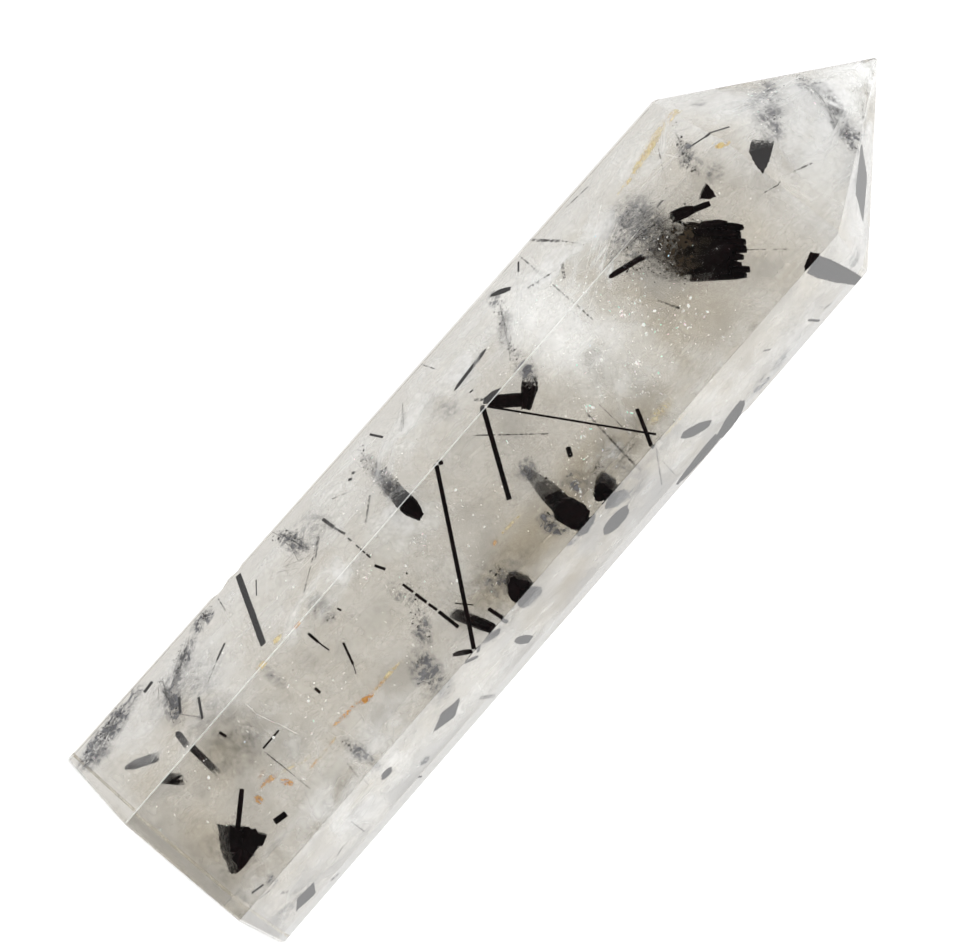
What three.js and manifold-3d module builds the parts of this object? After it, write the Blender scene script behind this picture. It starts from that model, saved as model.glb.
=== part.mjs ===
// Tourmalinated quartz: a polished six-sided quartz point with black tourmaline crystals grown in it.
// Millimetres, +Z up. The point stands on its flat cut base, with the origin at the middle of the base
// and its broad front face towards -Y.
//
// The tourmaline is sealed in the quartz, so the quartz is parted in two along one upright plane, and
// each crystal lies in a pocket that it leaves by a small gap. Crystals that the polish cut through
// end flush with the face, and their pockets are open there.

import * as THREE from 'three';
import { ConvexGeometry } from 'three/addons/geometries/ConvexGeometry.js';
import { mergeVertices } from 'three/addons/utils/BufferGeometryUtils.js';
import Module from 'manifold-3d';

const wasm = await Module();
wasm.setup();

// The quartz point. A face is given by the compass angle of its normal, its distance from the axis at
// the height WAIST, and how far it leans in towards the tip.
const HEIGHT = 100.4;
const WAIST = 42;
const SIDE_FACES = {
  front: { angle: -90, reach: 10.7, lean: 0.2 },
  rightFront: { angle: -30, reach: 11.72, lean: 0 },
  rightBack: { angle: 30, reach: 11.81, lean: 0 },
  back: { angle: 90, reach: 10.7, lean: 0.2 },
  leftBack: { angle: 150, reach: 11.46, lean: 0.92 },
  leftFront: { angle: -150, reach: 11.28, lean: 0 },
};

// The six facets of the tip meet at the apex, a little to the right of the axis, where the last
// BLUNT mm is worn off. The slope is the angle between a facet's normal and the level.
const BLUNT = 0.25;
const APEX = new THREE.Vector3(0.8, 0, HEIGHT + BLUNT);
const TIP_FACETS = {
  tipFront: { angle: -92.1, slope: 33.3 },
  tipLeft: { angle: -152.6, slope: 35.1 },
  tipRight: { angle: -29.7, slope: 34.7 },
  tipRightBack: { angle: 31, slope: 35.3 },
  tipBack: { angle: 89, slope: 33.5 },
  tipLeftBack: { angle: 152, slope: 34.5 },
};

// The worn edges: a narrow bevel along each upright edge and a broader one round the base.
const EDGE_BEVEL = 0.12;
const BASE_BEVEL = 0.55;
const BASE_BEVEL_SLOPE = -45;

// The shallow chips on the two silhouette edges: height, reach along the edge, and depth.
const CHIP_DETAIL = 2;
const CHIPS = [
  { edge: 'left', up: 21.6, length: 2.4, depth: 0.3 },
  { edge: 'left', up: 24.0, length: 1.6, depth: 0.22 },
  { edge: 'right', up: 66.3, length: 2.2, depth: 0.25 },
];

// The parting plane lies at this distance in front of the axis, and both halves stand back from it.
const PARTING = -4.5;
const GAP = 0.3;
// A crystal that the polish cut through ends this far under the face.
const POLISH = 0.08;

// The view that the inclusions were measured in: from the front, turned a little to the left.
const VIEW = { turn: 7.5, distance: 480, across: -1.0, up: 46.6 };
const QUARTZ_INDEX = 1.544;

// Section of a tourmaline crystal: sides, and how strongly it bulges to a rounded triangle.
const STOUT_SIDES = 9;
const NEEDLE_SIDES = 6;
const TRIANGULAR = 0.13;
// A stout crystal's ends narrow over this many times its width, and over no more than this share of
// its length where an arm doesn't give its own.
const END_LENGTH = 1.2;
const END_SHARE = 0.25;

// Points closer than WELD are one corner, and planes closer to parallel than LEVEL_PLANES never meet.
const WELD = 1e-4;
const LEVEL_PLANES = 1e-4;
const ON_PLANE = 1e-6;

const COLOURS = {
  quartz: new THREE.MeshStandardMaterial({ color: 0xd6d3ca, roughness: 0.05, metalness: 0 }),
  tourmaline: new THREE.MeshStandardMaterial({ color: 0x0d0a0a, roughness: 0.35, metalness: 0 }),
};

// Each crystal is a list of arms grown together. An arm runs between two places, each given as it
// shows from the front: across and up in mm on the plane through the axis, and how deep behind the
// face that it is seen through. A negative depth lies outside the quartz, where the polish took it off.
// width is across the arm, flat its thickness over its width, roll its turn about its own axis in
// degrees, ends how much its two ends narrow, and long the share of the length that each end takes.
const CRYSTALS = [
  {
    name: 'tourmaline_mass',
    arms: [
      { from: [-1.8, 77.2, 8.4], to: [1.6, 79.9, 2.9], width: 1.5, ends: [0.5, 0.85] },
      { from: [-3.0, 74.7, 8.8], to: [2.5, 79.5, 2.7], width: 1.7, ends: [0.4, 0.9] },
      { from: [-0.7, 75.2, 6.8], to: [3.6, 78.8, 2.4], width: 1.8, ends: [0.6, 0.8] },
      { from: [-1.8, 72.7, 8.6], to: [4.2, 77.9, 2.6], width: 1.6, ends: [0.4, 0.9] },
      { from: [0.8, 73.3, 7.0], to: [4.7, 77.1, 2.8], width: 1.5, ends: [0.5, 0.8] },
    ],
  },
  {
    name: 'tourmaline_bent_rod',
    arms: [
      { from: [-3.8, 76.1, 7.8], to: [-2.8, 78.2, 4.6], width: 1.1, ends: [0.7, 0.9] },
      { from: [-3.0, 77.9, 4.8], to: [-2.1, 79.7, 3.2], width: 0.6, ends: [0.9, 0.8] },
    ],
  },
  {
    name: 'tourmaline_small_triangle',
    arms: [{ from: [-3.2, 80.2, 8.0], to: [-3.2, 80.6, 2.6], width: 1.4, ends: [0.7, 0.95] }],
  },
  {
    name: 'tourmaline_short_rod',
    arms: [{ from: [-4.8, 68.2, 3.2], to: [-3.5, 72.0, 7.6], width: 0.55, ends: [0.6, 0.6] }],
  },
  {
    name: 'tourmaline_front_cut',
    arms: [
      { from: [-1.4, 86.6, -1.2], to: [-3.0, 89.0, 5.2], width: 3.0, flat: 0.8, roll: 25, ends: [1, 0.5] },
    ],
  },
  {
    name: 'tourmaline_tip_lens',
    arms: [
      { from: [4.5, 94.4, 0.1], to: [9.9, 88.3, 0.1], width: 1.1, flat: 0.8, ends: [0.12, 0.12], long: 0.45 },
    ],
  },
  {
    name: 'tourmaline_shoulder',
    arms: [
      { from: [8.8, 81.7, 2.6], to: [12.7, 84.3, 0.2], width: 2.4, flat: 0.6, ends: [0.8, 0.5] },
    ],
  },
  {
    name: 'tourmaline_elbow',
    arms: [
      { from: [-5.5, 56.8, 8.8], to: [-2.6, 53.8, 2.6], width: 1.25, ends: [0.5, 0.9] },
      { from: [-6.0, 51.6, 0.9], to: [-3.1, 54.2, 3.0], width: 1.3, ends: [0.45, 1] },
    ],
  },
  {
    name: 'tourmaline_slanted',
    arms: [
      { from: [-11.8, 40.4, 8.4], to: [-6.0, 38.9, 3.0], width: 1.05, ends: [0.5, 1] },
      { from: [-6.2, 38.9, 3.2], to: [-4.0, 39.0, 1.4], width: 1.35, ends: [1, 0.5] },
    ],
  },
  {
    name: 'tourmaline_broad',
    arms: [
      { from: [0.2, 49.4, 13.0], to: [7.0, 48.9, 3.2], width: 1.75, flat: 0.8, ends: [0.35, 0.9] },
      { from: [6.5, 48.3, 4.2], to: [8.6, 49.4, 2.0], width: 2.1, flat: 0.7, ends: [0.8, 0.75] },
    ],
  },
  {
    name: 'tourmaline_end_on',
    arms: [{ from: [7.5, 52.6, 8.6], to: [8.1, 52.2, 3.4], width: 1.85, ends: [0.6, 0.85] }],
  },
  {
    name: 'tourmaline_wedge',
    arms: [
      { from: [7.5, 40.6, 8.2], to: [8.2, 40.3, 2.2], width: 2.5, flat: 0.85, roll: 40, ends: [0.6, 0.8] },
    ],
  },
  {
    name: 'tourmaline_lower_rod',
    arms: [{ from: [4.7, 34.2, 7.8], to: [9.1, 35.8, 2.2], width: 1.0, ends: [0.7, 0.8] }],
  },
  {
    name: 'tourmaline_level_rod',
    arms: [{ from: [7.5, 31.4, 2.2], to: [9.3, 33.4, 7.2], width: 0.6, ends: [0.6, 0.6] }],
  },
  {
    name: 'tourmaline_long_needle',
    needle: true,
    arms: [{ from: [-5.5, 44.3, -0.6], to: [8.7, 33.1, 4.6], width: 0.42 }],
  },
  {
    name: 'tourmaline_steep_needle',
    needle: true,
    arms: [{ from: [-5.8, 51.0, 0.0], to: [1.9, 46.0, 2.9], width: 0.48 }],
  },
  {
    name: 'tourmaline_level_needle',
    needle: true,
    arms: [{ from: [-2.8, 52.9, 1.6], to: [8.4, 60.0, 0], width: 0.3 }],
  },
  {
    name: 'tourmaline_crossing_needle',
    needle: true,
    arms: [{ from: [5.5, 60.4, 7.2], to: [8.7, 58.7, 4.6], width: 0.4 }],
  },
  {
    name: 'tourmaline_left_rod',
    arms: [{ from: [-12.8, 23.7, 0.15], to: [-6.7, 20.3, 0.15], width: 0.66, ends: [0.9, 0.9] }],
  },
  {
    name: 'tourmaline_left_stub',
    arms: [{ from: [-12.3, 59.2, -0.4], to: [-11.1, 61.2, 0.9], width: 0.6, ends: [0.8, 0.6] }],
  },
  {
    name: 'tourmaline_left_blade',
    arms: [{ from: [-8.8, 50.4, 0.0], to: [-9.1, 55.3, 1.4], width: 0.42, ends: [0.5, 0.4] }],
  },
  {
    name: 'tourmaline_right_lens',
    arms: [{ from: [10.3, 61.2, 0.1], to: [11.4, 64.1, 0.1], width: 1.0, flat: 0.7, ends: [0.15, 0.15] }],
  },
  {
    name: 'tourmaline_right_blade_upper',
    arms: [{ from: [12.8, 64.2, 0.1], to: [12.7, 67.6, 0.1], width: 1.9, flat: 0.4, ends: [0.3, 0.4] }],
  },
  {
    name: 'tourmaline_right_blade_lower',
    arms: [{ from: [13.2, 57.9, 0.1], to: [12.8, 63.4, 0.1], width: 1.7, flat: 0.4, ends: [0.2, 0.3] }],
  },
  {
    name: 'tourmaline_right_oval',
    arms: [{ from: [10.4, 49.8, 0.1], to: [11.6, 52.6, 0.1], width: 1.5, flat: 0.4, ends: [0.3, 0.3] }],
  },
  {
    name: 'tourmaline_right_sliver',
    arms: [{ from: [10.8, 36.2, 0.1], to: [12.2, 37.6, 0.1], width: 0.9, flat: 0.6, ends: [0.2, 0.2] }],
  },
  {
    name: 'tourmaline_right_diamond',
    arms: [{ from: [10.8, 24.5, 0.1], to: [10.9, 28.3, 0.1], width: 2.2, flat: 0.4, ends: [0.12, 0.12] }],
  },
  {
    name: 'tourmaline_right_dot',
    arms: [{ from: [9.9, 18.2, 0.1], to: [10.3, 19.2, 0.1], width: 1.4, flat: 0.6, ends: [0.5, 0.5] }],
  },
  {
    name: 'tourmaline_right_foot',
    arms: [{ from: [12.2, 3.6, 0.1], to: [11.8, 6.1, 0.1], width: 1.6, flat: 0.5, ends: [0.15, 0.15] }],
  },
  {
    name: 'tourmaline_base_mass',
    arms: [
      { from: [5.7, 6.0, -1.2], to: [2.5, 4.6, 5.4], width: 3.5, flat: 0.75, roll: -20, ends: [1, 0.7] },
      { from: [0.6, 8.6, 1.6], to: [2.6, 5.4, 1.9], width: 0.42, ends: [0.9, 1] },
    ],
  },
  {
    name: 'tourmaline_base_rod',
    arms: [{ from: [-8.8, 3.0, 2.2], to: [-3.1, 6.2, 9.8], width: 1.4, ends: [0.6, 0.8] }],
  },
  {
    name: 'tourmaline_base_stub',
    arms: [{ from: [-7.3, 8.6, 1.6], to: [-5.5, 8.2, 11.0], width: 0.9, ends: [0.6, 0.7] }],
  },
];

const radians = THREE.MathUtils.degToRad;
const UP = new THREE.Vector3(0, 0, 1);

// A plane is a unit normal that points outwards and its distance from the origin along that normal.
function plane(angle, slope, through) {
  const level = Math.cos(radians(slope));
  const normal = new THREE.Vector3(
    Math.cos(radians(angle)) * level,
    Math.sin(radians(angle)) * level,
    Math.sin(radians(slope)),
  );
  return { normal, offset: normal.dot(through) };
}

function sidePlane({ angle, reach, lean }) {
  const level = [reach * Math.cos(radians(angle)), reach * Math.sin(radians(angle))];
  return plane(angle, lean, new THREE.Vector3(...level, WAIST));
}

function mapValues(table, make) {
  return Object.fromEntries(Object.entries(table).map(([key, value]) => [key, make(value)]));
}

const sides = mapValues(SIDE_FACES, sidePlane);
const facets = mapValues(TIP_FACETS, ({ angle, slope }) => plane(angle, slope, APEX));
const base = { normal: new THREE.Vector3(0, 0, -1), offset: 0 };
const mainPlanes = [...Object.values(sides), ...Object.values(facets), base];

// The point where three planes meet, or null where they don't.
function meet(a, b, c) {
  const matrix = new THREE.Matrix3().set(...a.normal, ...b.normal, ...c.normal);
  if (Math.abs(matrix.determinant()) < LEVEL_PLANES) {
    return null;
  }
  return new THREE.Vector3(a.offset, b.offset, c.offset).applyMatrix3(matrix.invert());
}

// The corners of the solid that lies behind all the planes.
function corners(planes) {
  const found = [];
  planes.forEach((a, i) => planes.slice(i + 1).forEach((b, j) => planes.slice(i + j + 2).forEach((c) => {
    const point = meet(a, b, c);
    const inside = point && planes.every((p) => p.normal.dot(point) <= p.offset + ON_PLANE);
    if (inside && !found.some((other) => other.distanceTo(point) < WELD)) {
      found.push(point);
    }
  })));
  return found;
}

function levelAt(height) {
  return { normal: UP, offset: height };
}

// A narrow bevel along each upright edge, midway between the two faces that meet there.
function edgeBevels() {
  const ring = Object.values(sides);
  return ring.map((face, i) => {
    const next = ring[(i + 1) % ring.length];
    const normal = face.normal.clone().add(next.normal).normalize();
    return { normal, offset: normal.dot(meet(face, next, levelAt(WAIST))) - EDGE_BEVEL / 2 };
  });
}

function baseBevels() {
  return Object.values(SIDE_FACES).map(({ angle, reach }) => {
    const through = new THREE.Vector3(
      (reach - BASE_BEVEL) * Math.cos(radians(angle)),
      (reach - BASE_BEVEL) * Math.sin(radians(angle)),
      0,
    );
    return plane(angle, BASE_BEVEL_SLOPE, through);
  });
}

function insetPlanes(planes, distance) {
  return planes.map(({ normal, offset }) => ({ normal, offset: offset - distance }));
}

// Turns a three.js geometry into a solid that can be joined and cut, and back.
function solid(geometry) {
  geometry.deleteAttribute('normal');
  geometry.deleteAttribute('uv');
  const merged = mergeVertices(geometry, WELD);
  return new wasm.Manifold(new wasm.Mesh({
    numProp: 3,
    vertProperties: new Float32Array(merged.attributes.position.array),
    triVerts: new Uint32Array(merged.index.array),
  }));
}

function geometryOf(manifold) {
  const mesh = manifold.getMesh();
  const geometry = new THREE.BufferGeometry();
  geometry.setAttribute('position', new THREE.BufferAttribute(new Float32Array(mesh.vertProperties), 3));
  geometry.setIndex(new THREE.BufferAttribute(new Uint32Array(mesh.triVerts), 1));
  return geometry;
}

// The view's own directions: across to the right, and away from the viewer.
const ACROSS = new THREE.Vector3(Math.cos(radians(VIEW.turn)), -Math.sin(radians(VIEW.turn)), 0);
const AWAY = UP.clone().cross(ACROSS);

function onViewPlane(across, up) {
  return ACROSS.clone().multiplyScalar(across).addScaledVector(UP, up);
}

const EYE = onViewPlane(VIEW.across, VIEW.up).addScaledVector(AWAY, -VIEW.distance);

// The face that a sight line enters by, and how far along the line it is.
function entry(direction) {
  let first = { along: -Infinity, normal: null };
  for (const { normal, offset } of mainPlanes) {
    const facing = normal.dot(direction);
    const along = (offset - normal.dot(EYE)) / facing;
    if (facing < 0 && along > first.along) {
      first = { along, normal };
    }
  }
  return first;
}

function refracted(direction, normal) {
  const ratio = 1 / QUARTZ_INDEX;
  const facing = -normal.dot(direction);
  const bent = Math.sqrt(1 - ratio * ratio * (1 - facing * facing));
  return direction.clone().multiplyScalar(ratio).addScaledVector(normal, ratio * facing - bent);
}

// The true place of an inclusion that shows at (across, up), the sight line bent at the face.
function sighted([across, up, depth]) {
  const direction = onViewPlane(across, up).sub(EYE).normalize();
  const { along, normal } = entry(direction);
  return EYE.clone().addScaledVector(direction, along).addScaledVector(refracted(direction, normal), depth);
}

// One arm of a crystal: a prism with a rounded triangular section whose ends narrow to a blunt point.
function armSolid(arm, needle, grow) {
  const { width, flat = 1, roll = 0, ends = [1, 1], long = END_SHARE } = arm;
  const from = sighted(arm.from);
  const to = sighted(arm.to);
  const length = from.distanceTo(to);
  const plain = needle || grow > 0;
  const tip = Math.min(width * END_LENGTH, length * long);
  const heights = plain ? [-grow, length + grow] : [0, tip, length - tip, length];
  const narrow = plain ? [1, 1] : [ends[0], 1, 1, ends[1]];
  const steps = heights.length - 1;
  // A plain six-sided pocket goes round the crystal's section, so its corners stand further out.
  const corner = 1 / Math.cos(Math.PI / NEEDLE_SIDES);
  const radius = width / 2 * (grow > 0 ? (1 + TRIANGULAR) * corner : 1);
  const room = grow * corner;

  const geometry = new THREE.CylinderGeometry(1, 1, 1, plain ? NEEDLE_SIDES : STOUT_SIDES, steps);
  const position = geometry.attributes.position;
  for (let i = 0; i < position.count; i += 1) {
    const ring = Math.round((position.getY(i) + 0.5) * steps);
    const around = Math.atan2(position.getZ(i), position.getX(i));
    const bulge = plain ? 1 : 1 + TRIANGULAR * Math.cos(3 * around);
    const reach = radius * bulge * narrow[ring];
    const centre = Math.hypot(position.getX(i), position.getZ(i)) < 0.5;
    position.setXYZ(
      i,
      centre ? 0 : Math.cos(around) * (reach + room),
      heights[ring],
      centre ? 0 : Math.sin(around) * (reach * flat + room),
    );
  }

  // The arm's broad side faces the viewer, unless roll turns it.
  const axis = to.clone().sub(from).normalize();
  const broad = axis.clone().cross(AWAY).normalize().applyAxisAngle(axis, radians(roll));
  const thin = broad.clone().cross(axis);
  const place = new THREE.Matrix4().makeBasis(broad, axis, thin).setPosition(from);
  geometry.applyMatrix4(place);
  return solid(geometry);
}

function joined(solids) {
  return solids.reduce((whole, next) => whole.add(next));
}

function crystalBody({ arms, needle = false }, grow) {
  return joined(arms.map((arm) => armSolid(arm, needle, grow)));
}

// A chip is a shallow scoop out of a silhouette edge, cut with a coarse ball.
function chipSolid({ edge, up, length, depth }) {
  const [a, b] = edge === 'left' ? [sides.leftBack, sides.leftFront] : [sides.rightFront, sides.rightBack];
  const corner = meet(a, b, levelAt(up));
  const outward = new THREE.Vector3(corner.x, corner.y, 0).normalize();
  const radius = (length * length / 4 + depth * depth) / (2 * depth);
  const geometry = new THREE.IcosahedronGeometry(radius, CHIP_DETAIL);
  geometry.translate(
    corner.x + outward.x * (radius - depth),
    corner.y + outward.y * (radius - depth),
    corner.z,
  );
  return solid(geometry);
}

const cutPlanes = [...mainPlanes, levelAt(HEIGHT), ...edgeBevels(), ...baseBevels()];
let quartz = solid(new ConvexGeometry(corners(cutPlanes)));
for (const chip of CHIPS) {
  quartz = quartz.subtract(chipSolid(chip));
}
const underPolish = solid(new ConvexGeometry(corners(insetPlanes(cutPlanes, POLISH))));

// A block that holds all of the space on one side of the parting plane.
function halfSpace(side) {
  const size = HEIGHT * 3;
  const geometry = new THREE.BoxGeometry(size, size, size);
  geometry.translate(0, PARTING + side * (size / 2 + GAP / 2), 0);
  return solid(geometry);
}

const pockets = joined(CRYSTALS.map((crystal) => crystalBody(crystal, GAP)));
const hollowed = quartz.subtract(pockets);

const crystalPoint = new THREE.Group();

function addPiece(name, manifold, material) {
  const mesh = new THREE.Mesh(geometryOf(manifold), material);
  mesh.name = name;
  crystalPoint.add(mesh);
}

addPiece('quartz_front', hollowed.intersect(halfSpace(-1)), COLOURS.quartz);
addPiece('quartz_back', hollowed.intersect(halfSpace(1)), COLOURS.quartz.clone());
for (const crystal of CRYSTALS) {
  addPiece(crystal.name, crystalBody(crystal, 0).intersect(underPolish), COLOURS.tourmaline.clone());
}

export default crystalPoint;
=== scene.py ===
"""A polished point of tourmalinated quartz, standing on its cut base. Metres, +Z up, front towards -Y."""

import math
import random
from typing import NamedTuple

import bmesh
import bpy
from mathutils import Matrix, Vector


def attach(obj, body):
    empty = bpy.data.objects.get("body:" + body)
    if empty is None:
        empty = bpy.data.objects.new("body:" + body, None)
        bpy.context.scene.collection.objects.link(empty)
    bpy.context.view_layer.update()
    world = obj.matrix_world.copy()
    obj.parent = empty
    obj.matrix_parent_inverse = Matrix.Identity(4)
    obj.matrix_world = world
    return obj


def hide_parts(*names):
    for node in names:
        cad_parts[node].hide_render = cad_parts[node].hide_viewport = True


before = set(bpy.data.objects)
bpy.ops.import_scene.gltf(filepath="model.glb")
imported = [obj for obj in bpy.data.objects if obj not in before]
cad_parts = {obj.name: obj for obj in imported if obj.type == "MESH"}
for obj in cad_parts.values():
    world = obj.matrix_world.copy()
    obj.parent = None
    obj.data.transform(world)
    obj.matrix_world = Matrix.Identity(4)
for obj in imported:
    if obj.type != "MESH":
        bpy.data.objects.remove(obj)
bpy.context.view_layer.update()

MM = 0.001

# The quartz point, as the solids have it. A side face has the compass angle of its normal, its
# distance from the axis in mm at the height WAIST, and how far it leans in towards the tip.
HEIGHT = 100.4
WAIST = 42.0
SIDE_FACES = {
    "front": (-90, 10.7, 0.2),
    "right_front": (-30, 11.72, 0.0),
    "right_back": (30, 11.81, 0.0),
    "back": (90, 10.7, 0.2),
    "left_back": (150, 11.46, 0.92),
    "left_front": (-150, 11.28, 0.0),
}
# The tip's facets meet at the apex, where the last BLUNT mm is worn off.
BLUNT = 0.25
APEX = Vector((0.8, 0.0, HEIGHT + BLUNT))
TIP_FACETS = {
    "tip_front": (-92.1, 33.3),
    "tip_left": (-152.6, 35.1),
    "tip_right": (-29.7, 34.7),
    "tip_right_back": (31.0, 35.3),
    "tip_back": (89.0, 33.5),
    "tip_left_back": (152.0, 34.5),
}
QUARTZ_INDEX = 1.544

# The bevel on the worn front left edge, on the other edges, and round the base.
WORN_EDGE = 0.07
EDGE_BEVEL = 0.07
BASE_BEVEL = 0.15
# The worn edge is dull up to the first height, and sound from the second on.
DULL_EDGE_END = 62
SOUND_EDGE_START = 78
# The shallow chips on the two silhouette edges: side, height, reach along the edge, and depth.
CHIPS = [("left", 21.6, 2.4, 0.3), ("left", 24.0, 1.6, 0.22), ("right", 66.3, 2.2, 0.25)]
CHIP_ROUGHNESS = 0.06
# The blank that the point is ground from: its radius, and how much longer than the point it is.
BLANK_RADIUS = 20
BLANK_SPARE = 10

# A crystal that the polish cut through ends this far under the face, and one that the polish opened
# along its length has its middle CUT_DEPTH under it.
POLISH = 0.08
CUT_DEPTH = 0.1
# Veils, flakes and stains stay this far inside the faces.
INSIDE = 0.12

WHITE = (1.0, 1.0, 1.0, 1.0)

# The view: turned a little to the left, from VIEW_DISTANCE mm, with the point leaning in the picture.
VIEW_TURN = math.radians(7.5)
VIEW_DISTANCE = 480.0
VIEW_ACROSS = -1.0
VIEW_UP = 46.6
VIEW_LEAN = math.radians(49)
PICTURE_WIDTH = 93.0
SENSOR = 36.0

ACROSS = Vector((math.cos(VIEW_TURN), -math.sin(VIEW_TURN), 0.0))
UP = Vector((0.0, 0.0, 1.0))
AWAY = UP.cross(ACROSS)
EYE = ACROSS * VIEW_ACROSS + UP * VIEW_UP - AWAY * VIEW_DISTANCE

# Section of a tourmaline crystal: its columns, how strongly it bulges to a rounded triangle, and for
# an angular one how far its flat sides lie from the axis and how flat they are, then how deep the
# grooves between the columns are, and the rings along it. Its sides and its broken caps are uneven by
# a share of its width, and the edges between its columns show below SMOOTH_BELOW.
COLUMNS = 24
TRIANGULAR = 0.13
FLAT_SIDE = 0.66
FLATNESS = 0.75
GROOVE = 0.07
RINGS = 9
UNEVEN_SIDES = 0.02
UNEVEN_CAPS = 0.09
SMOOTH_BELOW = math.radians(25)
# A crystal's ends narrow over this many times its width, and over no more than this share of its
# length, unless the arm has a share of its own. An oval one narrows by this power.
END_LENGTH = 1.2
END_SHARE = 0.25
OVAL_POWER = 0.5


class Arm(NamedTuple):
    """One arm of a tourmaline crystal, from start to end, two places given as they show from the front.

    A place is across and up in mm, and how deep it lies behind the face that it is seen through. A
    negative depth lies outside the quartz, where the polish took it off. Each end is a share of the
    width, and narrows over the share long of the length. The arm is flat across its broad side by a
    share, and that side lies across the view, or in a face of the quartz, before the arm is turned by
    roll in degrees. The deep end breaks up into fibres and haze over the share fade of the length.
    """
    start: tuple
    end: tuple
    width: float
    ends: tuple = (1, 1)
    flat: float = 1.0
    long: float = 0.0
    face: str = ""
    oval: bool = False
    fade: float = 0.0
    roll: float = 0.0
    angular: bool = False


def cut_open(start, end, width, ends, flat, long, oval=False, face="right_front"):
    """A crystal that the polish opened along a face, between two places across and up."""
    return [Arm((*start, CUT_DEPTH), (*end, CUT_DEPTH), width, ends, flat, long, face, oval)]


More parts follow.
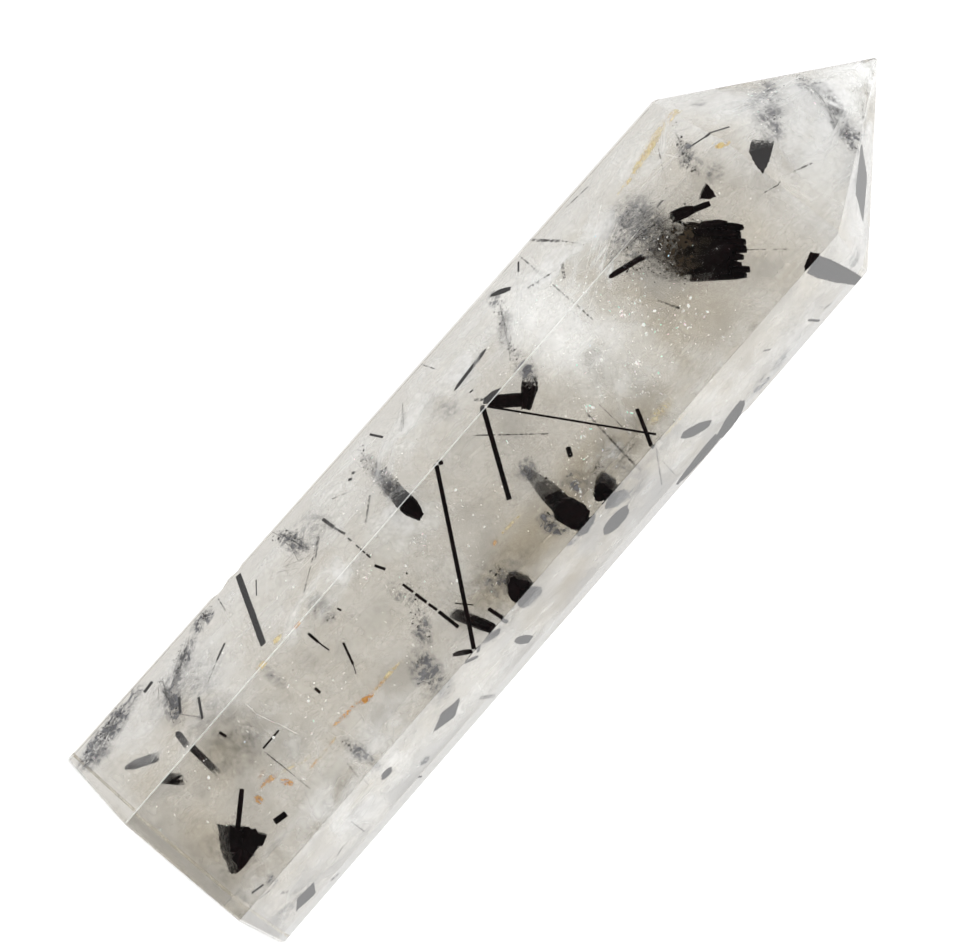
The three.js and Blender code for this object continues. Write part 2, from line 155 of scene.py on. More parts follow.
# The tourmaline crystals, each as the arms that are grown together.
CRYSTALS = {
    "mass": [
        Arm((-1.8, 74.6, 7.0), (2.9, 77.5, 3.6), 4.4, flat=0.5, fade=0.3),
        Arm((-1.7, 77.2, 6.2), (0.3, 79.3, 3.2), 0.8, (0.3, 0.6), fade=0.4),
        Arm((-1.4, 77.5, 5.8), (1.7, 80.0, 2.9), 0.75, (0.5, 0.7), fade=0.4),
        Arm((-2.2, 76.1, 6.6), (2.0, 79.3, 2.6), 0.85, (0.4, 0.6), fade=0.4),
        Arm((-3.0, 74.7, 7.4), (2.8, 79.1, 2.7), 0.8, (0.4, 0.7), fade=0.4),
        Arm((-2.2, 74.2, 7.2), (3.3, 78.6, 2.4), 0.85, (0.4, 0.8), fade=0.4),
        Arm((-2.0, 73.6, 7.3), (3.6, 77.9, 2.6), 0.8, (0.4, 0.6), fade=0.4),
        Arm((-1.6, 72.9, 7.3), (3.9, 77.3, 2.4), 0.6, (0.4, 0.5), fade=0.4),
        Arm((-0.4, 72.6, 6.8), (4.8, 77.4, 2.7), 0.75, (0.4, 0.8), fade=0.4),
        Arm((0.6, 72.6, 6.4), (4.9, 76.8, 2.8), 0.8, (0.5, 0.7), fade=0.4),
    ],
    "bent_rod": [
        Arm((-4.2, 75.8, 3.2), (-2.9, 78.3, 2.8), 1.1, (0.5, 0.6), fade=0.6),
        Arm((-3.1, 77.8, 2.9), (-2.1, 79.7, 2.7), 0.6, (0.9, 0.8)),
    ],
    "small_triangle": [
        Arm((-3.1, 80.2, 4.6), (-2.9, 80.3, 2.2), 1.5, (0.7, 0.95), fade=1.2, roll=-70, angular=True),
    ],
    "short_rod": [Arm((-4.7, 68.2, 1.5), (-3.5, 72.0, 4.0), 0.55, (0.6, 0.6), fade=0.3)],
    "front_cut": [Arm((-0.9, 85.5, -1.6), (-2.1, 87.8, 4.0), 2.2, (1, 0.5), fade=0.9, roll=29, angular=True)],
    "tip_lens": cut_open((5.1, 93.3), (9.9, 88.0), 4.6, (0.1, 0.05), flat=0.3, long=0.5, face="tip_right"),
    "shoulder": [
        Arm(
            (8.75, 81.9, 0.9), (13.8, 83.6, 0.1), 2.2, (0.95, 0.1),
            flat=0.6, long=0.75, face="right_front", oval=True,
        ),
    ],
    "elbow": [
        Arm((-5.0, 57.2, 1.9), (-2.5, 53.5, 1.7), 1.65, (0.5, 0.5), long=0.5, fade=1.2),
        Arm((-6.0, 51.6, 0.9), (-3.1, 54.1, 2.2), 1.3, (0.45, 1)),
    ],
    "slanted": [
        Arm((-12.2, 40.2, 4.0), (-5.0, 39.2, 1.1), 1.6, (0.6, 1), fade=2.2),
        Arm((-5.2, 39.2, 1.1), (-3.3, 39.2, 1.3), 1.8, (0.95, 0.45), long=0.7),
    ],
    "broad": [
        Arm((0.2, 49.2, 13.0), (7.0, 48.7, 3.2), 2.15, (0.2, 0.9), flat=0.8, long=0.7, fade=0.5),
        Arm((5.8, 48.5, 4.2), (8.7, 49.0, 2.0), 2.6, (0.6, 0.8), flat=0.7),
    ],
    "end_on": [Arm((7.6, 53.6, 8.2), (8.2, 52.3, 3.2), 2.1, (0.6, 0.85), fade=1.0)],
    "wedge": [Arm((7.5, 40.7, 7.6), (8.2, 40.2, 2.2), 2.5, (0.6, 0.9), fade=1.1, roll=-15)],
    "lower_rod": [Arm((4.7, 34.2, 7.8), (8.85, 35.7, 2.2), 1.15, (0.7, 0.8), fade=0.3)],
    "level_rod": [Arm((7.6, 31.4, 2.2), (8.7, 32.8, 3.0), 0.5, (0.6, 0.7))],
    "long_needle": [Arm((-5.4, 43.9, 0.3), (8.7, 33.1, 1.8), 0.42)],
    "steep_needle": [Arm((-5.8, 51.0, 0.0), (1.9, 46.0, 2.9), 0.48)],
    "level_needle": [Arm((-5.4, 51.3, 1.6), (8.4, 59.8, 1.4), 0.2)],
    "crossing_needle": [Arm((5.5, 60.4, 3.4), (8.7, 58.7, 0.9), 0.4)],
    "left_rod": [Arm((-12.8, 23.7, 0.15), (-6.7, 20.3, 0.15), 0.66, (0.9, 0.9))],
    "left_stub": [Arm((-12.3, 59.2, -0.4), (-11.1, 61.2, 0.9), 0.6, (0.8, 0.6))],
    "left_blade": [Arm((-8.8, 50.4, 0.0), (-9.1, 55.3, 1.4), 0.42, (0.5, 0.4))],
    "right_lens": cut_open((10.3, 61.4), (11.6, 64.0), 1.7, (0.4, 0.4), flat=0.4, long=0.5, oval=True),
    "right_blade_upper": cut_open((13.2, 63.6), (12.5, 67.6), 2.6, (0.7, 0.3), flat=0.3, long=0.5, oval=True),
    "right_blade_lower": cut_open((13.0, 57.6), (12.9, 63.6), 2.0, (0.2, 0.9), flat=0.3, long=0.7, oval=True),
    "right_oval": cut_open((10.7, 49.6), (11.0, 52.7), 3.0, (0.4, 0.6), flat=0.25, long=0.4, oval=True),
    "right_sliver": cut_open((11.1, 36.4), (12.2, 37.4), 1.1, (0.5, 0.8), flat=0.5, long=0.4),
    "right_diamond": cut_open((11.0, 24.8), (10.8, 28.6), 3.3, (0.1, 0.1), flat=0.25, long=0.5),
    "right_dot": cut_open((10.1, 18.2), (10.3, 19.4), 1.5, (0.6, 0.6), flat=0.5, long=0.5, oval=True),
    "right_foot": cut_open((12.3, 3.4), (11.8, 6.3), 3.1, (0.1, 0.1), flat=0.25, long=0.5),
    "base_mass": [
        Arm((4.5, 4.8, 0.8), (3.4, 4.2, 6.4), 4.6, (0.9, 0.7), flat=0.85, roll=5, angular=True),
        Arm((0.8, 8.6, 1.2), (2.9, 5.6, 1.6), 0.48, (0.9, 1)),
    ],
    "base_rod": [Arm((-8.8, 3.0, 2.2), (-3.1, 6.2, 9.8), 1.1, (0.5, 0.8), fade=0.7)],
    "base_stub": [Arm((-7.3, 8.6, 1.6), (-5.5, 8.2, 11.0), 0.7, (0.6, 0.7), fade=0.8)],
}


# Planes of the quartz point, each a unit normal and its distance from the origin in mm

def heading(angle, slope):
    """The unit vector at a compass angle and a slope, in degrees."""
    turned, sloped = math.radians(angle), math.radians(slope)
    level = math.cos(sloped)
    return Vector((math.cos(turned) * level, math.sin(turned) * level, math.sin(sloped)))


def plane(angle, slope, through):
    normal = heading(angle, slope)
    return normal, normal.dot(through)


def side_plane(angle, reach, lean):
    turned = math.radians(angle)
    return plane(angle, lean, Vector((reach * math.cos(turned), reach * math.sin(turned), WAIST)))


SIDES = {name: side_plane(*face) for name, face in SIDE_FACES.items()}
FACETS = {name: plane(angle, slope, APEX) for name, (angle, slope) in TIP_FACETS.items()}
FACES = {**SIDES, **FACETS}
CUTS = [*FACES.values(), (UP, HEIGHT), (-UP, 0.0)]


def entry(direction):
    """The normal of the face that a sight line enters by, and how far along the line it is."""
    best, hit = -math.inf, None
    for normal, offset in FACES.values():
        facing = normal.dot(direction)
        along = (offset - normal.dot(EYE)) / facing
        if facing < 0 and along > best:
            best, hit = along, normal
    return best, hit


def refracted(direction, normal):
    ratio = 1 / QUARTZ_INDEX
    facing = -normal.dot(direction)
    bent = math.sqrt(1 - ratio * ratio * (1 - facing * facing))
    return direction * ratio + normal * (ratio * facing - bent)


def sighted(across, up, depth):
    """The true place, in metres, of what shows at (across, up) in mm and lies depth mm inside."""
    direction = (ACROSS * across + UP * up - EYE).normalized()
    along, normal = entry(direction)
    return (EYE + direction * along + refracted(direction, normal) * depth) * MM


def within(point, inset=INSIDE):
    """Whether a point in metres lies inside the quartz, at least inset mm from every face."""
    return all(normal.dot(point) <= (offset - inset) * MM for normal, offset in CUTS)


# Small helpers for modelling

def deselect_all():
    if bpy.context.mode != "OBJECT":
        bpy.ops.object.mode_set(mode="OBJECT")
    bpy.ops.object.select_all(action="DESELECT")


def activate(piece):
    deselect_all()
    piece.select_set(True)
    bpy.context.view_layer.objects.active = piece


def apply_place(piece):
    activate(piece)
    bpy.ops.object.transform_apply(location=True, rotation=True, scale=True)


def join(pieces):
    activate(pieces[0])
    for piece in pieces[1:]:
        piece.select_set(True)
    if len(pieces) > 1:
        bpy.ops.object.join()
    return pieces[0]


def select_verts(piece, test):
    """Selects, in edit mode, the vertices whose place passes the test."""
    shape = bmesh.from_edit_mesh(piece.data)
    for vert in shape.verts:
        vert.select = test(vert.co)
    shape.select_flush(True)
    shape.select_flush(False)
    bmesh.update_edit_mesh(piece.data)


def clip(piece, inset, fill):
    """Cuts a piece back to inset mm inside the quartz, closing the cuts where fill is set."""
    activate(piece)
    bpy.ops.object.mode_set(mode="EDIT")
    for normal, offset in CUTS:
        limit = (offset - inset) * MM
        bpy.ops.mesh.select_all(action="SELECT")
        shape = bmesh.from_edit_mesh(piece.data)
        if any(normal.dot(vert.co) > limit for vert in shape.verts):
            bpy.ops.mesh.bisect(
                plane_co=normal * limit, plane_no=normal, use_fill=fill, clear_outer=True, threshold=1e-7,
            )
    bpy.ops.object.mode_set(mode="OBJECT")


def finish(piece, name, material, replaced=()):
    """Names the piece and its slot; material is None on a piece that already has its materials."""
    piece.name = name
    piece.data.name = name
    if material:
        piece.data.materials.clear()
        piece.data.materials.append(material)
    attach(piece, "root")
    if replaced:
        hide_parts(*replaced)


# Materials

class Look:
    """A material or the world with its nodes, and a method for each kind of node that it needs."""

    def __init__(self, block):
        self.block = block
        block.use_nodes = True
        self.nodes = block.node_tree.nodes
        self.shader = self.nodes.get("Principled BSDF")

    def feed(self, node, values):
        """Sets the named inputs of a node, and links those whose value is another node's output."""
        for name, value in values.items():
            if isinstance(value, bpy.types.NodeSocket):
                self.block.node_tree.links.new(value, node.inputs[name])
            else:
                node.inputs[name].default_value = value

    def add(self, kind, values=None, **settings):
        node = self.nodes.new("ShaderNode" + kind)
        for name, value in settings.items():
            setattr(node, name, value)
        self.feed(node, values or {})
        return node

    def noise(self, scale, detail=4.0, roughness=0.55, distortion=0.0, stretch=(1, 1, 1), turn=(0, 0, 0)):
        """A noise on the object's own coordinates, with scale cells to the metre."""
        turned = [math.radians(angle) for angle in turn]
        place = {"Vector": self.add("TexCoord").outputs["Object"], "Scale": stretch, "Rotation": turned}
        mapping = self.add("Mapping", place, vector_type="TEXTURE")
        noise = self.add("TexNoise", {
            "Vector": mapping.outputs["Vector"], "Scale": scale, "Detail": detail,
            "Roughness": roughness, "Distortion": distortion,
        })
        return noise.outputs["Fac"]

    def spread(self, value, low, high, to_low=0.0, to_high=1.0):
        """Maps low..high to to_low..to_high smoothly."""
        limits = {"From Min": low, "From Max": high, "To Min": to_low, "To Max": to_high}
        node = self.add("MapRange", {"Value": value, **limits}, interpolation_type="SMOOTHSTEP")
        return node.outputs["Result"]

    def combine(self, operation, first, second):
        return self.add("Math", {0: first, 1: second}, operation=operation).outputs["Value"]

    def mix(self, factor, first, second, data_type="RGBA", blend_type="MIX"):
        values = {"Factor": factor, "A": first, "B": second}
        return self.add("Mix", values, data_type=data_type, blend_type=blend_type).outputs["Result"]

    def ramp(self, value, stops):
        node = self.add("ValToRGB", {"Fac": value})
        elements = node.color_ramp.elements
        while len(elements) < len(stops):
            elements.new(0.5)
        for element, (position, colour) in zip(elements, stops):
            element.position = position
            element.color = (*colour, 1.0)
        return node.outputs["Color"]

    def attribute(self, name):
        return self.add("Attribute", attribute_name=name).outputs["Fac"]


def clear_quartz():
    look = Look(bpy.data.materials.new("clear_quartz"))
    absorption = look.add("VolumeAbsorption", {"Color": (0.46, 0.40, 0.26, 1.0), "Density": 10.0})
    look.feed(look.nodes["Material Output"], {"Volume": absorption.outputs["Volume"]})
    look.feed(look.shader, {
        "Base Color": WHITE, "Roughness": 0.0, "IOR": QUARTZ_INDEX, "Transmission Weight": 1.0,
    })
    return look.block


def worn_edge():
    """Ground and chipped quartz: white and dull where the polish is gone, and sounder towards the tip."""
    look = Look(bpy.data.materials.new("worn_edge"))
    place = look.add("TexCoord").outputs["Object"]
    height = look.add("SeparateXYZ", {"Vector": place}).outputs["Z"]
    sound = look.spread(height, DULL_EDGE_END * MM, SOUND_EDGE_START * MM)
    look.feed(look.shader, {
        "Base Color": look.ramp(look.noise(2500.0), [(0.3, (0.66, 0.66, 0.64)), (0.6, (0.90, 0.90, 0.88))]),
        "Roughness": look.spread(sound, 0.0, 1.0, 0.5, 0.05),
        "Transmission Weight": look.spread(sound, 0.0, 1.0, 0.55, 1.0),
        "IOR": QUARTZ_INDEX,
    })
    return look.block


def black_tourmaline():
    """Schorl: black with a brown tinge, its deep end breaking up where the attribute solid falls off."""
    look = Look(bpy.data.materials.new("black_tourmaline"))
    tones = [(0.35, (0.003, 0.001, 0.001)), (0.75, (0.010, 0.0035, 0.004))]
    grain = look.noise(1800.0, detail=2.0)
    bump = look.add("Bump", {"Strength": 0.3, "Distance": 0.05 * MM, "Height": grain})
    flakes = look.noise(3200.0, detail=3.0, distortion=0.5)
    solid = look.combine("MULTIPLY", look.attribute("solid"), 1.3)
    # It shows where solid and the noise of the flakes are high enough together.
    unbroken = look.combine("ADD", look.combine("ADD", solid, -0.45), flakes)
    look.feed(look.shader, {
        "Base Color": look.ramp(look.noise(400.0), tones),
        "Roughness": look.spread(grain, 0.3, 0.7, 0.12, 0.4),
        "IOR": 1.1,
        "Normal": bump.outputs["Normal"],
        "Alpha": look.spread(unbroken, 0.35, 0.65),
    })
    return look.block


def sheet_material(
    name, colours, clouds, mottle, amount, dense=(0.42, 0.72), grain=(0.45, 1.3),
    glow=0.0, stretch=1, lean=(0, 0, 0), twist=1.2, detail=5.0, core=None,
):
    """A thin milky or stained film: clouds and mottle cells to the metre, opaque up to amount.

    The clouds start and close at the noise values dense, the grain varies them between its two shares,
    twist curls them, and stretch draws them out along the point, or along an axis turned by lean. glow is
    the strength of a painted glow, emission that stands in for the light that the film scatters. Where
    there is a colour core, the attribute warmth tints them towards it and the attribute shine says how
    much of that painted glow they give.
    """
    look = Look(bpy.data.materials.new(name))
    drawn = {"stretch": (1, 1, stretch), "turn": lean}
    broad = look.noise(clouds, detail=detail, roughness=0.58, distortion=twist, **drawn)
    fine = look.noise(mottle, detail=2.0, **drawn)
    tone = look.combine("MULTIPLY", look.combine("ADD", broad, fine), 0.5)
    colour = look.ramp(tone, [(0.4, colours[0]), (0.58, colours[1])])
    shine = colour
    if core:
        colour = look.mix(look.attribute("warmth"), colour, (*core, 1.0), blend_type="MULTIPLY")
        scaling = {"Vector": colour, "Scale": look.attribute("shine")}
        shine = look.add("VectorMath", scaling, operation="SCALE").outputs["Vector"]
    film = look.combine("MULTIPLY", look.spread(broad, *dense), look.spread(fine, 0.3, 0.68, *grain))
    thickness = look.combine("MULTIPLY", look.attribute("thickness"), amount)
    look.feed(look.shader, {
        "Base Color": colour, "Emission Color": shine, "Emission Strength": glow,
        "Roughness": 0.9, "Specular IOR Level": 0.0, "Alpha": look.combine("MULTIPLY", film, thickness),
    })
    return look.block


def bright_flake():
    """Tiny cracks and flakes with a painted glint: they glow by emission, a few of them with a faint rainbow.
    """
    look = Look(bpy.data.materials.new("bright_flake"))
    colour = look.ramp(look.noise(900.0, detail=1.0), [
        (0.32, (0.55, 0.95, 0.80)), (0.38, (0.97, 0.97, 0.95)), (0.60, (0.96, 0.96, 0.93)),
        (0.66, (0.98, 0.70, 0.78)), (0.72, (0.65, 0.85, 0.99)),
    ])
    look.feed(look.shader, {
        "Base Color": colour, "Emission Color": colour, "Emission Strength": 0.35, "Roughness": 0.35,
        "IOR": 1.2,
    })
    return look.block


# The quartz point, ground face by face from a blank

def add_quartz():
    deselect_all()
    bpy.ops.mesh.primitive_cylinder_add(
        vertices=6, radius=BLANK_RADIUS * MM, depth=(HEIGHT + BLANK_SPARE) * MM,
        location=(0, 0, HEIGHT * MM / 2),
    )
    piece = bpy.context.object
    apply_place(piece)
    piece.data.materials.append(clear_quartz())
    piece.data.materials.append(worn_edge())
    bpy.ops.object.mode_set(mode="EDIT")
    for normal, offset in CUTS:
        bpy.ops.mesh.select_all(action="SELECT")
        bpy.ops.mesh.bisect(
            plane_co=normal * offset * MM, plane_no=normal, use_fill=True, clear_outer=True, threshold=1e-7,
        )
    bpy.ops.mesh.select_all(action="SELECT")
    bpy.ops.mesh.remove_doubles(threshold=1e-6)
    bpy.ops.mesh.normals_make_consistent(inside=False)
    bevel_edges(piece, base_edge, BASE_BEVEL, 1)
    bevel_edges(piece, other_edge, EDGE_BEVEL, 2)
    bevel_edges(piece, front_left_edge, WORN_EDGE, 1)
    piece.active_material_index = 1
    bpy.ops.object.material_slot_assign()
    bpy.ops.object.mode_set(mode="OBJECT")
    for chip in CHIPS:
        cut_chip(piece, *chip)
    finish(piece, "quartz_point", None, ("quartz_front", "quartz_back"))


def close_to(normal, face):
    """Whether a normal points the way that a face of the quartz does."""
    return normal.dot(face[0]) > 0.999


def base_edge(normals):
    """Whether an edge between two faces with these normals runs round the base."""
    return any(normal.z < -0.99 for normal in normals)


def front_left_edge(normals):
    """Whether it is the worn edge between the front and the left face."""
    front, left = SIDES["front"], SIDES["left_front"]
    return any(close_to(n, front) for n in normals) and any(close_to(n, left) for n in normals)


def other_edge(normals):
    """Whether it is another edge above the base where two faces meet at an angle."""
    flat = normals[0].dot(normals[1]) > 0.9
    return not flat and min(n.z for n in normals) > -0.3 and not front_left_edge(normals)


def bevel_edges(piece, wanted, width, segments):
    """Bevels the edges between two faces whose normals the test accepts."""
    bpy.ops.mesh.select_mode(type="EDGE")
    shape = bmesh.from_edit_mesh(piece.data)
    shape.normal_update()
    for edge in shape.edges:
        edge.select = len(edge.link_faces) == 2 and wanted([face.normal for face in edge.link_faces])
    shape.select_flush_mode()
    bmesh.update_edit_mesh(piece.data)
    bpy.ops.mesh.bevel(offset=width * MM, segments=segments, affect="EDGES")


def cut_chip(piece, side, up, length, depth):
    """Takes a shallow shell-shaped scoop out of a silhouette edge."""
    names = ("left_back", "left_front") if side == "left" else ("right_front", "right_back")
    corner = edge_point(SIDES[names[0]], SIDES[names[1]], up)
    outward = Vector((corner.x, corner.y, 0)).normalized()
    radius = (length * length / 4 + depth * depth) / (2 * depth)
    deselect_all()
    bpy.ops.mesh.primitive_ico_sphere_add(
        subdivisions=4, radius=radius * MM, location=(corner + outward * (radius - depth)) * MM,
    )
    cutter = bpy.context.object
    apply_place(cutter)
    bpy.ops.object.mode_set(mode="EDIT")
    bpy.ops.mesh.select_all(action="SELECT")
    bpy.ops.transform.vertex_random(offset=CHIP_ROUGHNESS * MM, seed=int(up))
    bpy.ops.object.mode_set(mode="OBJECT")
    for material in piece.data.materials:
        cutter.data.materials.append(material)
    for face in cutter.data.polygons:
        face.material_index = 1
    activate(piece)
    cut = piece.modifiers.new("chip", "BOOLEAN")
    cut.operation = "DIFFERENCE"
    cut.solver = "EXACT"
    cut.object = cutter
    bpy.ops.object.modifier_apply(modifier=cut.name)
    bpy.data.objects.remove(cutter)


def edge_point(first, second, up):
    """Where two upright faces meet at a height in mm."""
    (a, reach_a), (b, reach_b) = first, second
    reach_a -= a.z * up
    reach_b -= b.z * up
    across = a.x * b.y - a.y * b.x
    return Vector(((reach_a * b.y - reach_b * a.y) / across, (a.x * reach_b - b.x * reach_a) / across, up))


# Tourmaline crystals

def add_arm(arm, seed):
    """One striated crystal: a rounded three-sided rod whose ends narrow and break off unevenly."""
    start, end = sighted(*arm.start), sighted(*arm.end)
    length = (end - start).length
    width = arm.width * MM
    deselect_all()
    bpy.ops.mesh.primitive_cylinder_add(
        vertices=COLUMNS, radius=width / 2, depth=length, location=(0, 0, length / 2), end_fill_type="TRIFAN",
    )
    piece = bpy.context.object
    apply_place(piece)
    bpy.ops.object.mode_set(mode="EDIT")
    bpy.ops.mesh.select_mode(type="EDGE")
    shape = bmesh.from_edit_mesh(piece.data)
    for edge in shape.edges:
        edge.select = abs(edge.verts[0].co.z - edge.verts[1].co.z) > length / 2
    bmesh.update_edit_mesh(piece.data)
    bpy.ops.mesh.subdivide(number_cuts=RINGS - 1)
    bpy.ops.mesh.select_mode(type="VERT")
    shape_section(piece, arm.angular)
    shape_ends(piece, arm, width, length)
    bpy.ops.mesh.select_all(action="SELECT")
    bpy.ops.transform.vertex_random(offset=width * UNEVEN_SIDES, seed=seed)
    bpy.ops.transform.resize(value=(arm.flat, 1, 1), center_override=(0, 0, 0))
    bpy.ops.object.mode_set(mode="OBJECT")
    mark_solid(piece, arm, length)
    place_arm(piece, arm, start, end)
    return piece


def shape_section(piece, angular):
    """Draws every third of the columns out to a rounded triangle, with a groove at each second one."""
    period = COLUMNS // 3
    for step in range(period):
        bulge = 1 + TRIANGULAR * math.cos(2 * math.pi * step / period)
        if angular:
            from_side = math.radians(60 - 360 / COLUMNS * min(step, period - step))
            bulge = 1 - FLATNESS + FLATNESS * FLAT_SIDE / math.cos(from_side)
        factor = bulge * (1 - GROOVE * (step % 2))

        def in_column(place):
            turn = math.degrees(math.atan2(place.x, place.y)) % 360
            on_rim = math.hypot(place.x, place.y) > 1e-6
            return on_rim and round(turn / 360 * COLUMNS) % period == step

        select_verts(piece, in_column)
        bpy.ops.transform.resize(value=(factor, factor, 1), center_override=(0, 0, 0))


def shape_ends(piece, arm, width, length):
    """Narrows both ends ring by ring, and roughens the broken caps."""
    reach = length * arm.long if arm.long else min(width * END_LENGTH, length * END_SHARE)
    power = OVAL_POWER if arm.oval else 1
    step = length / RINGS
    for share_left, level in zip(arm.ends, (0.0, length)):
        for ring in range(RINGS):
            distance = ring * step
            if distance >= reach:
                break
            height = abs(level - distance)
            factor = share_left + (1 - share_left) * (distance / reach) ** power
            select_verts(piece, lambda place: abs(place.z - height) < step / 4)
            bpy.ops.transform.resize(value=(factor, factor, 1), center_override=(0, 0, height))
        select_verts(piece, lambda place: abs(place.z - level) < step / 4)
        bpy.ops.transform.vertex_random(offset=width * UNEVEN_CAPS, seed=int(length / MM * 10))


def mark_solid(piece, arm, length):
    """Writes the attribute solid: 1 in the sound crystal, falling to 0 at a deep end that fades."""
    deep_start = arm.start[2] > arm.end[2]
    values = piece.data.attributes.new("solid", "FLOAT", "POINT")
    for vert, value in zip(piece.data.vertices, values.data):
        from_deep = vert.co.z / length if deep_start else 1 - vert.co.z / length
        value.value = min(1.0, max(0.0, from_deep / arm.fade)) if arm.fade else 1.0


def place_arm(piece, arm, start, end):
    """Lays the arm between its ends, its broad side in its face or across the view, turned by its roll."""
    axis = (end - start).normalized()
    facing = FACES[arm.face][0] if arm.face else AWAY
    broad = axis.cross(facing).normalized()
    broad.rotate(Matrix.Rotation(math.radians(arm.roll), 3, axis))
    thin = broad.cross(axis)
    turned = Matrix((thin, broad, axis)).transposed().to_4x4()
    piece.matrix_world = Matrix.Translation(start) @ turned
    apply_place(piece)


def add_crystal(name, arms, material):
    piece = join([add_arm(arm, seed) for seed, arm in enumerate(arms)])
    clip(piece, POLISH, fill=True)
    activate(piece)
    bpy.ops.object.shade_smooth_by_angle(angle=SMOOTH_BELOW)
    finish(piece, name + "_crystal", material, ("tourmaline_" + name,))


# Sheets of haze, veils and stains

# How quickly a film thins towards its rim.
RIM_POWER = 0.8


def add_sheet(centre, normal, spin, size, cells, falloff, strength):
    """A flat net of cells at a place in metres; its film thins towards its rim where falloff is set."""
    deselect_all()
    bpy.ops.mesh.primitive_grid_add(x_subdivisions=cells[0], y_subdivisions=cells[1], size=1)
    piece = bpy.context.object
    values = piece.data.attributes.new("thickness", "FLOAT", "POINT")
    for vert, value in zip(piece.data.vertices, values.data):
        rim = min(1.0, 4 * (vert.co.x ** 2 + vert.co.y ** 2))
        value.value = strength * ((1 - rim) ** RIM_POWER if falloff else 1.0)
    turned = Vector(normal).to_track_quat("Z", "Y").to_matrix().to_4x4()
    spun = Matrix.Rotation(math.radians(spin), 4, "Z")
    stretch = Matrix.Diagonal((size[0] * MM, size[1] * MM, 1, 1))
    piece.matrix_world = Matrix.Translation(centre) @ turned @ spun @ stretch
    apply_place(piece)
    return piece


def ripple(piece, size, strength):
    """Bends a sheet into soft waves of size mm."""
    waves = bpy.data.textures.new("waves", "CLOUDS")
    waves.noise_scale = size * MM
    waves.noise_depth = 2
    activate(piece)
    bend = piece.modifiers.new("bend", "DISPLACE")
    bend.texture = waves
    bend.texture_coords = "GLOBAL"
    bend.strength = strength * MM
    bend.mid_level = 0.5
    bpy.ops.object.modifier_apply(modifier=bend.name)


# The haze fills the point as three sets of upright sheets, a set across each pair of faces, and one
# set across the axis. Each has the compass angle of its normal, its slope, the sheets and their step.
HAZE_SETS = [(-85, 4, 7, 2.7), (-28, -5, 6, 3.4), (-149, 6, 6, 3.4)]
HAZE_SHEET = {"spin": 0, "size": (30, 116), "cells": (18, 60), "falloff": False, "strength": 1.0}
LEVEL_HAZE = 8
LEVEL_SHEET = {"spin": 0, "size": (40, 40), "cells": (20, 20), "falloff": False, "strength": 1.0}
LEVEL_START = 0.6
# How far the sheets stray from their slope and angle in degrees, and the level ones from level.
STRAY_SLOPE = 5
STRAY_ANGLE = 7
STRAY_LEVEL = 0.8
HAZE_COLOURS = ((0.90, 0.895, 0.88), (0.995, 0.995, 0.99))
# The haze starts this deep behind the front face and the other faces, and is full at the second depth.
CLEAR_FRONT = (3.2, 6.5)
CLEAR_SIDES = (0.3, 1.8)
# The tip is milkier, from the first height in mm to the second. There the haze is full from the depth
# CLEAR_TIP on, it keeps the share TIP_FRONT just behind the front, and TIP_HAZE is added to it.
MILKY_TIP = (84.0, 94.0)
CLEAR_TIP = 0.7
TIP_FRONT = 0.5
TIP_HAZE = 1.5
LEAST_HAZE = 0.15
# The size and the depth of the waves in its sheets.
HAZE_WAVES = (9.0, 2.2)
# The warm core ends where the front facet's view begins: from the first height to the second, and
# lower by this share of the depth.
CORE_END = (84.6, 86.6)
CORE_SLANT = 0.22
# The haze is warmer and duller, with less painted glow, in the middle of the point, between these depths
# behind the left and the right faces, and the more so in some places. In others it is whiter, with more
# painted glow. A place is given across and up as it shows, with how far it reaches across and up, and its
# share.
SMOKY_CORE = (0.66, 0.575, 0.42)
SMOKY_SHARE = 0.28
WARM_WITHIN = [SIDES["left_front"], SIDES["left_back"], SIDES["right_front"]]
WARM_DEPTHS = (1.5, 5.0)
SMOKY_AND_SHADED_PLACES = [
    (6.5, 54.0, 4.5, 13.0, 0.75),
    (6.1, 42.0, 5.0, 9.0, 0.55),
    (3.0, 81.0, 8.0, 8.0, 0.2),
    (6.5, 22.5, 3.5, 6.0, -0.26),
    (7.5, 12.0, 3.0, 9.0, -0.26),
    (3.0, 2.0, 8.0, 6.0, 0.35),
    # Painted shade: warmer, darker haze low in the point, standing in for a dark reflection there.
    (-2.8, 11.0, 4.0, 5.0, 0.45),
    (2.0, 70.5, 8.0, 6.0, 0.25),
]
# The haze glows by the first share, less by the second where it is warm: a painted glow, emission that stands
# in for the light that it scatters.
SHINE = 0.37
DULL = 0.7
# The places where the haze is whiter and has more painted glow.
WHITE_PLACES = [
    (-4.5, 61.0, 7.0, 5.5, 0.38),
    (1.5, 65.0, 8.0, 2.4, 0.15),
    (0.8, 98.5, 7.0, 7.0, 0.3),
    (-7.0, 88.0, 6.0, 7.0, -0.06),
    (3.0, 81.0, 8.0, 8.0, 0.14),
    (-9.5, 75.0, 4.5, 11.0, 0.08),
]

